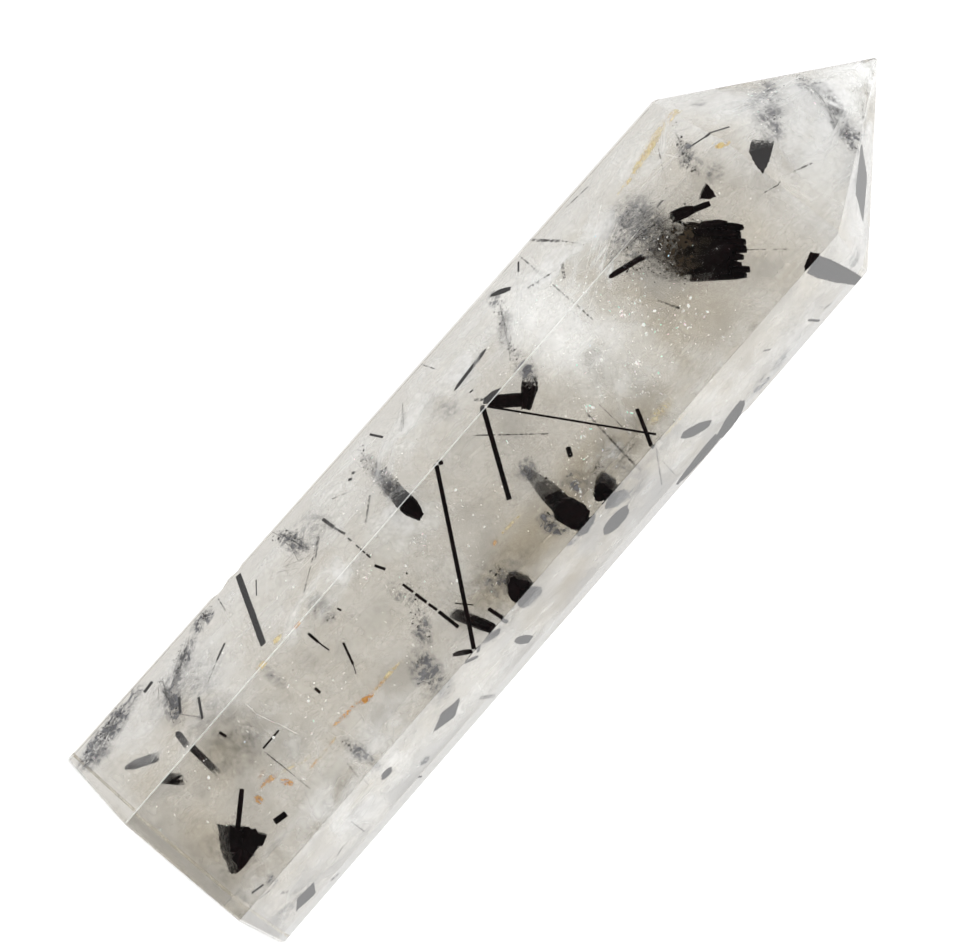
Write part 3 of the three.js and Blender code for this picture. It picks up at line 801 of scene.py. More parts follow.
# Where the haze is thicker or thinner, each place given the same way.
HAZE_PLACES = [
    (-5.5, 62.0, 7.0, 7.0, 1.4),
    (3.0, 66.8, 8.0, 3.4, 0.8),
    (-9.5, 44.0, 3.5, 8.0, 0.5),
    (0.8, 97.0, 6.0, 8.0, 1.0),
    (-6.5, 89.0, 6.0, 6.0, 0.5),
    (-9.5, 77.0, 3.0, 9.0, 0.8),
    (-4.5, 35.0, 3.0, 6.0, 0.5),
    (6.5, 50.0, 5.0, 15.0, -0.6),
    (4.5, 60.5, 5.0, 5.0, -0.4),
    (4.0, 73.0, 6.0, 5.0, -0.3),
    (-1.5, 74.5, 4.5, 4.0, -0.9),
    (7.5, 13.0, 3.5, 20.0, 0.8),
    # Part of the painted shade low in the point: the haze is thinner here.
    (-2.5, 11.5, 4.5, 5.5, -0.5),
    (6.5, 5.0, 4.5, 7.0, -0.5),
    (0.5, 40.0, 4.0, 6.0, -0.3),
    (6.0, 28.5, 4.5, 5.0, -0.4),
    (0.0, 55.0, 4.0, 5.0, -0.3),
]
# A place counts in full up to this share of its reach.
PLACE_CORE = 0.2


def add_haze():
    shuffled = random.Random(4)
    sheets = []
    middle = Vector((0, 0, HEIGHT / 2 * MM))
    for angle, slope, count, step in HAZE_SETS:
        for number in range(count):
            tilt = slope + shuffled.uniform(-STRAY_SLOPE, STRAY_SLOPE)
            normal = heading(angle + shuffled.uniform(-STRAY_ANGLE, STRAY_ANGLE), tilt)
            offset = (number - (count - 1) / 2) * step * MM
            sheets.append(add_sheet(middle + normal * offset, normal, **HAZE_SHEET))
    for number in range(LEVEL_HAZE):
        centre = Vector((0, 0, (number + LEVEL_START) * HEIGHT / LEVEL_HAZE * MM))
        stray = [shuffled.uniform(-STRAY_LEVEL, STRAY_LEVEL) for axis in range(2)]
        sheets.append(add_sheet(centre, Vector((*stray, 1)).normalized(), **LEVEL_SHEET))
    piece = join(sheets)
    ripple(piece, *HAZE_WAVES)
    clip(piece, INSIDE, fill=False)
    thin_out(piece)
    # The haze glows by emission: a painted glow that stands in for the light scattered inside it.
    material = sheet_material(
        "milky_haze", HAZE_COLOURS, clouds=170.0, mottle=600.0, amount=0.34,
        dense=(0.4, 0.6), grain=(0.75, 1.15), glow=0.3, twist=0.4, detail=3.0, core=SMOKY_CORE,
    )
    finish(piece, "milky_haze", material)


def eased(value, low, high):
    share = min(1.0, max(0.0, (value - low) / (high - low)))
    return share * share * (3 - 2 * share)


def local(places, across, up):
    """The sum of the shares that the places give to a spot, each fading out to its own reach."""
    total = 0.0
    for place_across, place_up, reach_across, reach_up, share in places:
        away = math.hypot((across - place_across) / reach_across, (up - place_up) / reach_up)
        total += share * (1 - eased(away, PLACE_CORE, 1.0))
    return total


def thin_out(piece):
    """Lets the haze fade out towards the faces, and marks where it is thick, warm or has more painted glow.
    """
    warmth = piece.data.attributes.new("warmth", "FLOAT", "POINT")
    values = piece.data.attributes["thickness"]
    shine = piece.data.attributes.new("shine", "FLOAT", "POINT")
    for vert, value, warm, bright in zip(piece.data.vertices, values.data, warmth.data, shine.data):
        across, up = vert.co.dot(ACROSS) / MM, vert.co.z / MM
        behind_front = depth_behind([SIDES["front"]], vert.co)
        milky = eased(up, *MILKY_TIP)
        full = CLEAR_SIDES[1] - (CLEAR_SIDES[1] - CLEAR_TIP) * milky
        behind = max(eased(behind_front, *CLEAR_FRONT), TIP_FRONT * milky)
        depth = eased(depth_behind(CUTS, vert.co), CLEAR_SIDES[0], full) * behind
        value.value = depth * max(LEAST_HAZE, 1 + (TIP_HAZE * milky + local(HAZE_PLACES, across, up)))
        white = local(WHITE_PLACES, across, up)
        smoky = SMOKY_SHARE + local(SMOKY_AND_SHADED_PLACES, across, up) - white
        below = 1 - eased(up + CORE_SLANT * behind_front, *CORE_END)
        core = eased(depth_behind(WARM_WITHIN, vert.co), *WARM_DEPTHS)
        warm.value = core * min(1.0, max(0.0, smoky)) * below
        # The strength of the painted glow: less where the haze is warm, more where it is white.
        bright.value = min(1.0, SHINE * (1 - DULL * warm.value) + white)


def depth_behind(planes, point):
    """How deep in mm a point in metres lies behind the nearest of some planes."""
    return min(offset - normal.dot(point) / MM for normal, offset in planes)


# Brighter veils: centre as it shows, width and height in mm, tilt and turn of the sheet in degrees
# away from facing the viewer, its spin in the picture, and how dense it is.
VEILS = [
    ((3.0, 66.4, 3.8), (18, 6), 20, 10, 12, 0.35),
    ((-4.8, 61.4, 3.0), (12, 8), -15, -10, 25, 0.5),
    ((10.0, 47.0, 0.7), (3.4, 22), 0, 55, 0, 0.35),
    ((7.7, 15.0, 1.2), (4.0, 40), 0, 18, 0, 0.35),
    ((1.0, 98.6, 0.3), (5.0, 6.4), -34, 6, 0, 1.7),
    ((1.6, 98.6, 0.25), (3.4, 6.0), -35, 62, 0, 1.0),
    ((2.8, 95.4, 0.6), (4.0, 6.0), -34, 6, -30, 0.9),
    ((-0.6, 97.6, 0.4), (3.0, 5.0), -35, -55, 30, 0.9),
    ((4.0, 61.0, 8.0), (18, 10), 35, 5, 10, 0.8),
    ((-9.3, 64.0, 1.3), (6, 14), 5, -50, 0, 1.0),
    ((-9.3, 53.5, 1.3), (6, 12), -8, -48, 4, 0.9),
    ((-9.6, 44.5, 1.3), (6, 9), 8, -48, -6, 0.8),
    ((-10.0, 34.0, 1.5), (6, 10), 10, -45, 0, 0.9),
    ((-6.0, 27.5, 1.2), (4, 12), 0, -35, 8, 0.9),
    ((-9.5, 17.0, 1.3), (6, 9), 6, -48, 0, 0.7),
    ((0.5, 92.0, 1.6), (9, 6), -30, 5, 20, 0.7),
    ((0.5, 96.6, 0.8), (8, 8), -34, 5, 0, 0.9),
    ((4.0, 90.5, 1.8), (8, 7), -30, 10, -30, 0.4),
    ((-6.5, 87.6, 1.1), (8, 9), -35, -55, 30, 0.4),
    ((-9.5, 79.0, 1.1), (5, 10), 0, -48, 0, 1.0),
    ((11.5, 60.0, 2.5), (5, 30), 0, 55, 0, 0.3),
    ((11.5, 26.0, 2.5), (5, 34), 0, 55, 0, 0.5),
    ((2.0, 36.0, 9.0), (16, 12), -30, 0, 15, 0.6),
    ((0.0, 14.0, 8.0), (18, 12), 25, -10, 0, 0.45),
    ((-4.0, 38.0, 3.0), (7, 9), 10, 20, 0, 0.8),
    ((-9.0, 70.5, 1.6), (6, 8), 10, -40, 10, 0.9),
]
VEIL_COLOURS = ((0.92, 0.93, 0.91), (0.99, 0.99, 0.98))

# White streaks, given the same way, and how their grain leans from upright, in degrees.
STREAK_LEAN = (0, -37, -60)
STREAKS = [
    ((-7.0, 69.0, 1.6), (5, 13), 4, -20, 8, 1.0),
    ((-6.4, 66.0, 2.2), (4, 9), -4, -10, 14, 0.9),
    ((-9.5, 80.0, 0.9), (5, 12), 4, -46, 0, 0.8),
    ((-9.0, 60.0, 0.9), (6, 16), -3, -50, 3, 0.6),
    ((-9.2, 41.0, 0.9), (6, 18), 3, -46, -3, 0.5),
    ((-8.8, 24.0, 0.9), (6, 14), -3, -46, 4, 0.4),
    ((6.0, 56.0, 3.5), (4, 8), 5, 10, 10, 0.6),
    ((11.0, 52.0, 1.5), (4, 14), 0, 50, 0, 0.7),
]

# Smoky film: the deep grey patches, mostly to the left of the mass and low on the left face, and a few
# patches of painted shade beside crystals and low in the point.
SMOKE_AND_SHADE = [
    ((-4.8, 72.8, 5.6), (6.4, 8), 0, -10, 30, 1.0),
    ((-5.0, 73.8, 4.6), (4.8, 5.6), 10, -10, 30, 0.9),
    ((-6.3, 73.0, 1.8), (3.2, 7), 0, -30, 24, 0.65),
    ((-2.8, 89.2, 1.4), (3.8, 4.6), -33, 5, 20, 1.2),
    ((-4.5, 90.4, 1.0), (5.5, 5), -35, -50, 30, 0.7),
    ((-5.3, 91.3, 0.9), (3.4, 4), -35, -55, 30, 1.4),
    ((-9.0, 39.7, 1.5), (7.5, 2.0), 0, -40, -6, 1.3),
    ((-7.3, 39.4, 1.2), (4.2, 2.0), 0, -40, -6, 1.5),
    ((-4.6, 26.5, 1.6), (3.6, 2.4), 0, 0, -20, 0.7),
    ((-9.5, 12.5, 1.0), (8, 10), 0, -44, 0, 0.55),
    ((-10.3, 31.0, 1.0), (6, 6), 0, -44, 0, 0.65),
    ((-2.6, 94.3, 0.5), (3.6, 2.0), -35, -50, 6, 1.2),
    ((-0.4, 94.6, 1.0), (5.8, 2.5), -34, 5, -8, 1.6),
    ((2.8, 93.6, 1.1), (6.4, 2.8), -34, 5, -24, 1.7),
    ((-6.7, 81.7, 1.0), (4.6, 2.4), 0, -30, -28, 1.3),
    ((-9.2, 86.2, 0.7), (1.8, 1.8), -35, -55, 0, 0.8),
    ((-9.3, 58.3, 1.0), (6.4, 1.9), 0, -40, -40, 0.7),
    ((-5.6, 56.5, 1.6), (3.6, 1.9), 0, -10, -25, 1.2),
    ((-8.5, 48.5, 1.2), (6, 3), 0, -40, 10, 0.5),
    ((3.7, 31.3, 2.6), (4.2, 2.2), 0, 10, -38, 1.2),
    ((7.1, 28.4, 2.8), (6.0, 3.6), 0, 10, -20, 1.5),
    ((0.2, 32.5, 2.6), (3.8, 1.8), 0, 0, 5, 1.6),
    # Painted shadow: a soft dark patch to the left of the wedge crystal.
    ((6.3, 40.0, 4.0), (3.6, 4.4), 0, 10, 0, 0.9),
    ((6.6, 46.9, 3.4), (3.6, 2.0), 0, 10, 20, 2.6),
    ((1.2, 49.2, 5.0), (2.6, 2.4), 0, 0, 0, 1.0),
    ((5.6, 51.3, 3.4), (3.0, 2.8), 0, 0, 30, 1.3),
    ((8.0, 54.6, 3.0), (2.6, 2.4), 0, 10, 0, 0.8),
    ((10.2, 54.6, 0.8), (3.4, 5.0), 0, 50, 10, 0.9),
    ((6.9, 18.6, 2.6), (4.6, 1.7), 0, 10, 4, 1.1),
    ((-3.9, 18.6, 2.0), (3.4, 1.4), 0, 0, 0, 0.6),
    ((-12.5, 18.2, 0.5), (2.4, 3.4), 0, -50, 0, 2.0),
    ((-11.3, 13.9, 0.7), (1.9, 6.6), 0, -46, 26, 1.6),
    ((-9.6, 10.5, 0.9), (6.4, 2.2), 0, -40, -26, 1.8),
    ((-12.4, 4.8, 0.5), (3.2, 11), 0, -50, 6, 2.0),
    ((-11.6, 2.0, 0.6), (3.0, 4), 0, -50, 0, 1.2),
    ((-10.9, 29.5, 0.8), (5.4, 2.2), 0, -44, 8, 1.8),
    # Painted shade: a darker patch low in the point, standing in for a dark reflection there.
    ((-2.8, 11.4, 6.0), (7, 8), 10, 0, 20, 0.5),
    ((12.7, 71.0, 1.2), (2.4, 7.0), 0, 52, 0, 1.3),
    ((12.1, 22.0, 1.1), (1.4, 1.4), 0, 52, 0, 1.6),
    ((8.3, 4.0, 2.0), (1.0, 2.2), 0, 10, 0, 1.1),
    # Painted shadow: a soft dark patch above and to the left of the small triangle crystal.
    ((-3.7, 82.2, 3.0), (2.0, 2.4), 0, 0, 20, 0.9),
    ((-11.6, 59.4, 0.6), (2.4, 1.8), 0, -48, -20, 1.3),
    ((11.4, 3.6, 1.2), (4.4, 8), 0, 50, 0, 0.7),
    ((11.2, 77.0, 1.0), (4.4, 12), 0, 50, 0, 0.3),
    ((11.8, 84.8, 1.0), (2.4, 1.8), -20, 50, 0, 1.4),
    ((9.8, 46.0, 0.8), (2.4, 14), 0, 50, 0, 0.3),
]
SMOKE_AND_SHADE_COLOURS = ((0.02, 0.02, 0.025), (0.20, 0.20, 0.215))

# Brown shade: round the lower left of the mass, and in the warm places of the core.
SHADE = [
    ((-1.6, 74.8, 3.8), (6.5, 6), 0, 10, 40, 1.4),
    ((-0.6, 73.4, 4.4), (6, 3.6), 0, 0, 45, 1.3),
    ((-3.0, 74.4, 4.2), (4, 5), 0, 0, 20, 1.0),
    ((7.2, 56.0, 5.0), (5, 15), 0, 10, 0, 0.4),
    ((6.4, 39.0, 5.0), (6, 13), 0, 10, 0, 0.4),
    # Painted shade: a darker patch low in the point, standing in for a dark reflection there.
    ((-2.8, 11.5, 5.5), (6, 7), 10, 0, 20, 0.5),
    ((4.0, 2.5, 5.0), (12, 6), 0, 0, 0, 0.25),
]
SHADE_COLOURS = ((0.008, 0.005, 0.004), (0.06, 0.045, 0.03))

# Iron-stained cracks, as thin films: yellow where the stain is thin, and rusty where it is thick.
YELLOW_STAINS = [
    ((-10.3, 82.6, 0.9), (1.3, 7.0), 5, -40, 2, 0.9),
    ((-9.8, 79.4, 0.9), (1.1, 5.0), 5, -40, 6, 1.1),
    ((-9.4, 76.6, 0.9), (0.7, 4.5), 5, -40, 3, 0.9),
    ((4.2, 25.6, 2.6), (0.5, 5.0), 5, 15, 0, 0.8),
    ((4.4, 16.6, 2.6), (0.4, 5.0), 5, 15, 4, 0.4),
    ((3.6, 43.9, 3.6), (0.5, 4.0), 5, 20, 0, 0.5),
    ((-5.0, 84.5, 0.8), (0.6, 1.1), 0, 0, -30, 2.6),
    ((-4.6, 85.0, 0.8), (0.4, 0.7), 0, 0, -20, 1.6),
    ((7.3, 61.6, 4.0), (1.2, 4.0), 0, 10, 0, 0.4),
    ((-6.0, 21.4, 0.5), (0.8, 1.6), 0, -20, 0, 1.2),
    ((-5.4, 18.7, 0.5), (0.5, 1.6), 0, -20, 0, 1.0),
    ((3.2, 13.8, 3.0), (0.5, 4.0), 10, 0, -20, 0.4),
]
YELLOW = ((0.82, 0.52, 0.14), (0.93, 0.80, 0.46))
RUSTY_STAINS = [
    ((4.1, 22.8, 2.6), (0.7, 1.8), 5, 15, -14, 2.2),
    ((4.2, 24.6, 2.6), (0.4, 2.4), 5, 15, 0, 0.5),
    ((3.6, 20.6, 2.6), (0.5, 4.4), 5, 15, -4, 0.9),
    ((4.3, 17.4, 2.6), (0.4, 2.2), 5, 15, 10, 0.5),
    ((4.4, 14.9, 2.6), (0.4, 1.6), 5, 15, 0, 0.5),
    ((3.6, 41.9, 3.6), (0.8, 1.1), 5, 20, 0, 0.5),
    ((2.2, 10.9, 3.0), (0.7, 2.6), 10, 0, -10, 0.9),
    ((3.6, 11.9, 3.0), (1.6, 0.8), 10, 0, 30, 1.2),
    ((2.7, 8.9, 3.0), (1.2, 0.9), 10, 0, 0, 1.1),
    ((1.3, 10.9, 3.0), (0.4, 1.4), 10, 0, 10, 0.5),
    ((-5.4, 23.8, 0.4), (0.3, 1.0), 0, 0, 0, 1.2),
]
RUST = ((0.48, 0.12, 0.015), (0.84, 0.46, 0.14))
FILM_CELLS = (18, 18)


def facing_away(tilt, turn):
    """The normal of a sheet that faces the viewer, tilted back and turned by degrees."""
    normal = -AWAY.copy()
    normal.rotate(Matrix.Rotation(math.radians(tilt), 3, ACROSS))
    normal.rotate(Matrix.Rotation(math.radians(turn), 3, UP))
    return normal


def add_films(name, films, waves, material):
    """Joins a list of films, each a sheet with waves of a size and a depth, cut back to the inside."""
    sheets = []
    for centre, size, tilt, turn, spin, strength in films:
        place = sighted(*centre)
        sheets.append(add_sheet(place, facing_away(tilt, turn), spin, size, FILM_CELLS, True, strength))
    piece = join(sheets)
    ripple(piece, *waves)
    clip(piece, INSIDE, fill=False)
    finish(piece, name, material)


# Small flakes, needles and fibres, each modelled once and copied

FLAKE_CORNERS = 5
FLAKE_UNEVEN = 0.16
# The step in a rod's caps: its rim, and how far it stands out.
CAP_RIM = 0.15
CAP_STEP = 1.02
# How unbroken the broken needles and the grey fibres are.
BROKEN = 0.31
GREY = 0.45


def plate(name, seed):
    """One small uneven flake, a millimetre across."""
    deselect_all()
    bpy.ops.mesh.primitive_circle_add(vertices=FLAKE_CORNERS, radius=0.5 * MM, fill_type="NGON")
    piece = bpy.context.object
    piece.name = name
    bpy.ops.object.mode_set(mode="EDIT")
    bpy.ops.mesh.select_all(action="SELECT")
    bpy.ops.transform.vertex_random(offset=FLAKE_UNEVEN * MM, seed=seed)
    bpy.ops.object.mode_set(mode="OBJECT")
    return piece


def rod(name, sides):
    """One thin rod of unit length and width along Z, with stepped caps."""
    deselect_all()
    bpy.ops.mesh.primitive_cylinder_add(vertices=sides, radius=0.5, depth=1.0, location=(0, 0, 0.5))
    piece = bpy.context.object
    piece.name = name
    apply_place(piece)
    bpy.ops.object.mode_set(mode="EDIT")
    bpy.ops.mesh.select_mode(type="FACE")
    bpy.ops.mesh.select_all(action="SELECT")
    shape = bmesh.from_edit_mesh(piece.data)
    for face in shape.faces:
        face.select = abs(face.normal.z) > 0.9
    bmesh.update_edit_mesh(piece.data)
    bpy.ops.mesh.inset(thickness=CAP_RIM, depth=0.0)
    bpy.ops.transform.resize(value=(1, 1, CAP_STEP))
    bpy.ops.object.mode_set(mode="OBJECT")
    return piece


def scatter(name, template, places, material, solid=1.0):
    """Copies a small shape to each place, as one joined mesh; solid is how unbroken they are."""
    shape = bmesh.new()
    for place in places:
        copy = template.data.copy()
        copy.transform(place)
        shape.from_mesh(copy)
        bpy.data.meshes.remove(copy)
    mesh = bpy.data.meshes.new(name)
    shape.to_mesh(mesh)
    shape.free()
    bpy.data.objects.remove(template)
    piece = bpy.data.objects.new(name, mesh)
    bpy.context.scene.collection.objects.link(piece)
    values = mesh.attributes.new("solid", "FLOAT", "POINT")
    values.data.foreach_set("value", [solid] * len(mesh.vertices))
    finish(piece, name, material)


def any_turn(shuffled):
    axis = Vector((shuffled.gauss(0, 1), shuffled.gauss(0, 1), shuffled.gauss(0, 1))).normalized()
    return Matrix.Rotation(shuffled.uniform(0, 2 * math.pi), 4, axis)


# Clouds of flakes: two ends as they show, the radius round the line between them, and the count.
BRIGHT_CLOUDS = [
    ((-6.4, 60.1, 3), (10.0, 63.7, 5), 3.6, 420),
    ((-5.0, 66.0, 2), (6.0, 71.0, 3), 3.0, 460),
    ((2.5, 63.7, 1.5), (3.0, 63.9, 1.5), 0.35, 60),
    ((-1.7, 66.3, 1.5), (-1.2, 66.5, 1.5), 0.35, 60),
    ((1.5, 57.3, 1.5), (2.0, 57.6, 1.5), 0.35, 50),
    ((-5.0, 73.0, 2), (-0.5, 74.5, 3), 2.4, 45),
    ((-3.5, 94.3, 0.7), (5.0, 93.0, 0.8), 1.0, 160),
    ((-5.5, 91.5, 1.0), (-2.5, 89.0, 1.2), 1.6, 150),
    ((-11.0, 40.0, 2.0), (-6.0, 39.3, 1.4), 1.2, 120),
    ((-12.6, 6.0, 0.4), (-11.8, 1.5, 0.5), 1.2, 120),
    ((-4.1, 31.6, 2), (-3.6, 32.0, 2), 1.3, 50),
    ((-2.5, 39.7, 2), (-1.5, 36.7, 3), 1.2, 70),
    ((3.5, 57.0, 2), (4.5, 52.0, 4), 1.4, 90),
    ((5.5, 51.0, 4), (9.0, 51.5, 4), 1.5, 90),
    ((-8.0, 58.0, 1), (-8.5, 68.0, 1), 1.5, 120),
    ((-8.5, 18.0, 1), (-8.5, 45.0, 1), 1.6, 160),
    ((-6.5, 90.0, 1), (-1.0, 94.5, 1), 1.4, 120),
    ((0.0, 5.0, 6), (0.0, 82.0, 6), 7.5, 1000),
]
DARK_CLOUDS = [
    ((-7.0, 72.0, 3.5), (-1.2, 76.6, 6.0), 1.9, 900),
    ((-4.5, 70.0, 4.5), (1.0, 73.6, 6.0), 1.1, 420),
    ((-11.1, 59.5, 1.0), (-8.8, 57.6, 1.5), 0.6, 150),
    ((-8.8, 57.6, 1.5), (-5.6, 56.0, 3.0), 0.7, 240),
    ((-3.7, 94.3, 0.8), (-0.6, 94.8, 0.8), 0.6, 120),
    ((-0.6, 94.8, 0.8), (1.8, 93.7, 1.0), 0.6, 110),
    ((1.8, 93.7, 1.0), (5.4, 92.4, 0.8), 0.6, 130),
    ((-2.4, 88.6, 1.0), (-5.9, 92.3, 1.0), 1.1, 260),
    ((-9.7, 83.2, 1.0), (-5.2, 81.0, 1.5), 0.7, 200),
    ((-7.4, 82.2, 1.0), (-5.4, 81.2, 1.3), 0.7, 200),
    ((2.3, 31.8, 3.0), (4.9, 30.6, 3.0), 0.8, 110),
    ((5.4, 28.8, 4.0), (8.6, 28.8, 4.0), 0.9, 150),
    ((5.3, 18.4, 3.0), (8.3, 18.3, 3.0), 0.55, 90),
    ((-12.9, 29.1, 0.6), (-9.6, 29.8, 1.0), 0.7, 220),
    ((-12.5, 15.6, 0.8), (-10.5, 12.2, 1.0), 0.7, 220),
    ((-11.8, 11.1, 0.8), (-7.5, 9.6, 1.5), 0.8, 240),
    ((-13.1, 6.9, 0.4), (-12.0, 0.8, 0.4), 0.7, 560),
    ((-12.9, 19.4, 0.4), (-12.4, 17.4, 0.4), 0.6, 160),
    ((-12.0, 40.2, 1.0), (-6.2, 39.4, 1.2), 0.8, 380),
    ((-5.6, 26.8, 1.6), (-3.6, 26.0, 1.6), 0.8, 70),
    ((-1.0, 34.0, 3.0), (2.0, 33.0, 3.5), 0.7, 120),
    ((7.0, 53.5, 5.0), (9.0, 54.0, 6.0), 0.8, 50),
    ((5.2, 47.3, 4.0), (7.4, 46.4, 4.0), 0.5, 90),
    ((0.8, 50.0, 5.0), (3.0, 49.6, 5.5), 0.6, 60),
    ((4.8, 40.3, 4.5), (6.8, 39.3, 4.0), 0.7, 80),
]


def cloud_places(clouds, small, large, seed):
    """Where the flakes of all clouds lie, how they are turned, and how large they are."""
    shuffled = random.Random(seed)
    places = []
    for first, second, radius, count in clouds:
        start, end = sighted(*first), sighted(*second)
        for number in range(count):
            middle = start.lerp(end, shuffled.random())
            stray = Vector([shuffled.gauss(0, radius / 2 * MM) for axis in range(3)])
            size = small * (large / small) ** (shuffled.random() ** 3)
            if within(middle + stray):
                uneven = Matrix.Diagonal((size, size * shuffled.uniform(0.25, 1.0), size, 1))
                places.append(Matrix.Translation(middle + stray) @ any_turn(shuffled) @ uneven)
    return places


def add_flakes(black):
    bright_places = cloud_places(BRIGHT_CLOUDS, small=0.05, large=0.4, seed=11)
    scatter("bright_flakes", plate("bright_flake", seed=3), bright_places, bright_flake())
    dark_places = cloud_places(DARK_CLOUDS, small=0.08, large=0.34, seed=12)
    scatter("dark_flakes", plate("dark_flake", seed=8), dark_places, black)


# Hair-fine needles, as they show: one end, the other end, and the width in mm.
NEEDLES = [
    ((-12.2, 63.6, 0.3), (-11.6, 62.9, 0.5), 0.22),
    ((-12.1, 42.0, 0.4), (-11.0, 42.6, 0.8), 0.25),
    ((-10.8, 37.4, 0.6), (-10.6, 37.7, 0.7), 0.35),
    ((-11.0, 38.1, 0.6), (-10.8, 38.3, 0.7), 0.3),
    ((-10.2, 33.0, 0.8), (-8.9, 33.1, 1.4), 0.34),
    ((-8.8, 33.1, 1.5), (-7.7, 33.3, 2.0), 0.24),
    ((-11.2, 24.5, 0.5), (-10.2, 23.4, 0.9), 0.14),
    ((-9.5, 18.0, 0.6), (-9.0, 16.3, 1.0), 0.24),
    ((-12.2, 9.5, 0.3), (-12.3, 10.7, 0.6), 0.4),
    ((-9.4, 11.3, 0.8), (-8.3, 10.2, 1.2), 0.3),
    ((-8.0, 12.5, 0.8), (-6.4, 11.2, 1.5), 0.3),
    ((4.5, 35.2, 2.0), (5.9, 36.2, 2.4), 0.12),
    ((-4.1, 23.9, 1.5), (-2.9, 23.9, 2.0), 0.28),
    ((-2.9, 23.9, 2.0), (-1.6, 24.0, 2.6), 0.16),
    ((-1.0, 25.4, 1.5), (1.0, 24.5, 2.5), 0.24),
    ((1.0, 24.5, 2.5), (1.8, 24.0, 3.0), 0.1),
    ((-0.2, 20.4, 2.0), (0.4, 20.4, 2.2), 0.3),
    ((-4.3, 11.3, 2.0), (-3.6, 11.4, 2.2), 0.3),
    ((-0.2, 15.1, 2.0), (-0.2, 12.9, 3.0), 0.22),
    ((8.0, 1.8, 2.0), (8.3, 3.1, 2.4), 0.2),
    ((-7.2, 82.1, 1.0), (-6.6, 84.2, 1.1), 0.2),
    ((-6.6, 84.2, 1.1), (-5.5, 86.4, 0.5), 0.3),
    ((7.3, 36.9, 2.0), (8.8, 37.1, 2.8), 0.4),
    ((-7.2, 33.2, 1.6), (-6.8, 33.2, 1.6), 0.16),
    ((-6.2, 33.2, 1.6), (-5.8, 33.2, 1.6), 0.16),
    ((-4.9, 33.2, 1.8), (-4.4, 33.2, 1.8), 0.18),
    ((-3.6, 32.9, 2.0), (-2.6, 33.3, 2.0), 0.28),
    ((-0.4, 33.3, 2.0), (0.8, 33.4, 2.2), 0.26),
    ((1.1, 33.4, 2.2), (2.4, 33.5, 2.4), 0.3),
    ((2.7, 33.5, 2.4), (3.6, 33.6, 2.8), 0.28),
    ((3.9, 33.6, 2.8), (6.2, 33.7, 3.4), 0.36),
    ((-3.2, 76.5, 4.6), (-0.9, 76.9, 5.6), 0.3),
    ((2.95, 53.35, 4.0), (3.6, 52.95, 3.4), 0.55),
    ((-7.55, 51.2, 0.6), (-7.5, 51.6, 0.6), 0.22),
    ((-5.35, 44.25, 0.3), (-5.15, 44.5, 0.4), 0.45),
    ((12.7, 20.5, 0.4), (12.9, 20.7, 0.4), 0.25),
    ((5.2, 8.3, 3.0), (5.5, 9.6, 3.2), 0.66),
    ((10.9, 72.5, 0.6), (11.3, 73.0, 0.8), 0.2),
    ((12.2, 77.5, 0.5), (13.0, 78.1, 0.7), 0.3),
    ((-3.6, 27.5, 2.0), (-3.2, 27.6, 2.1), 0.2),
]
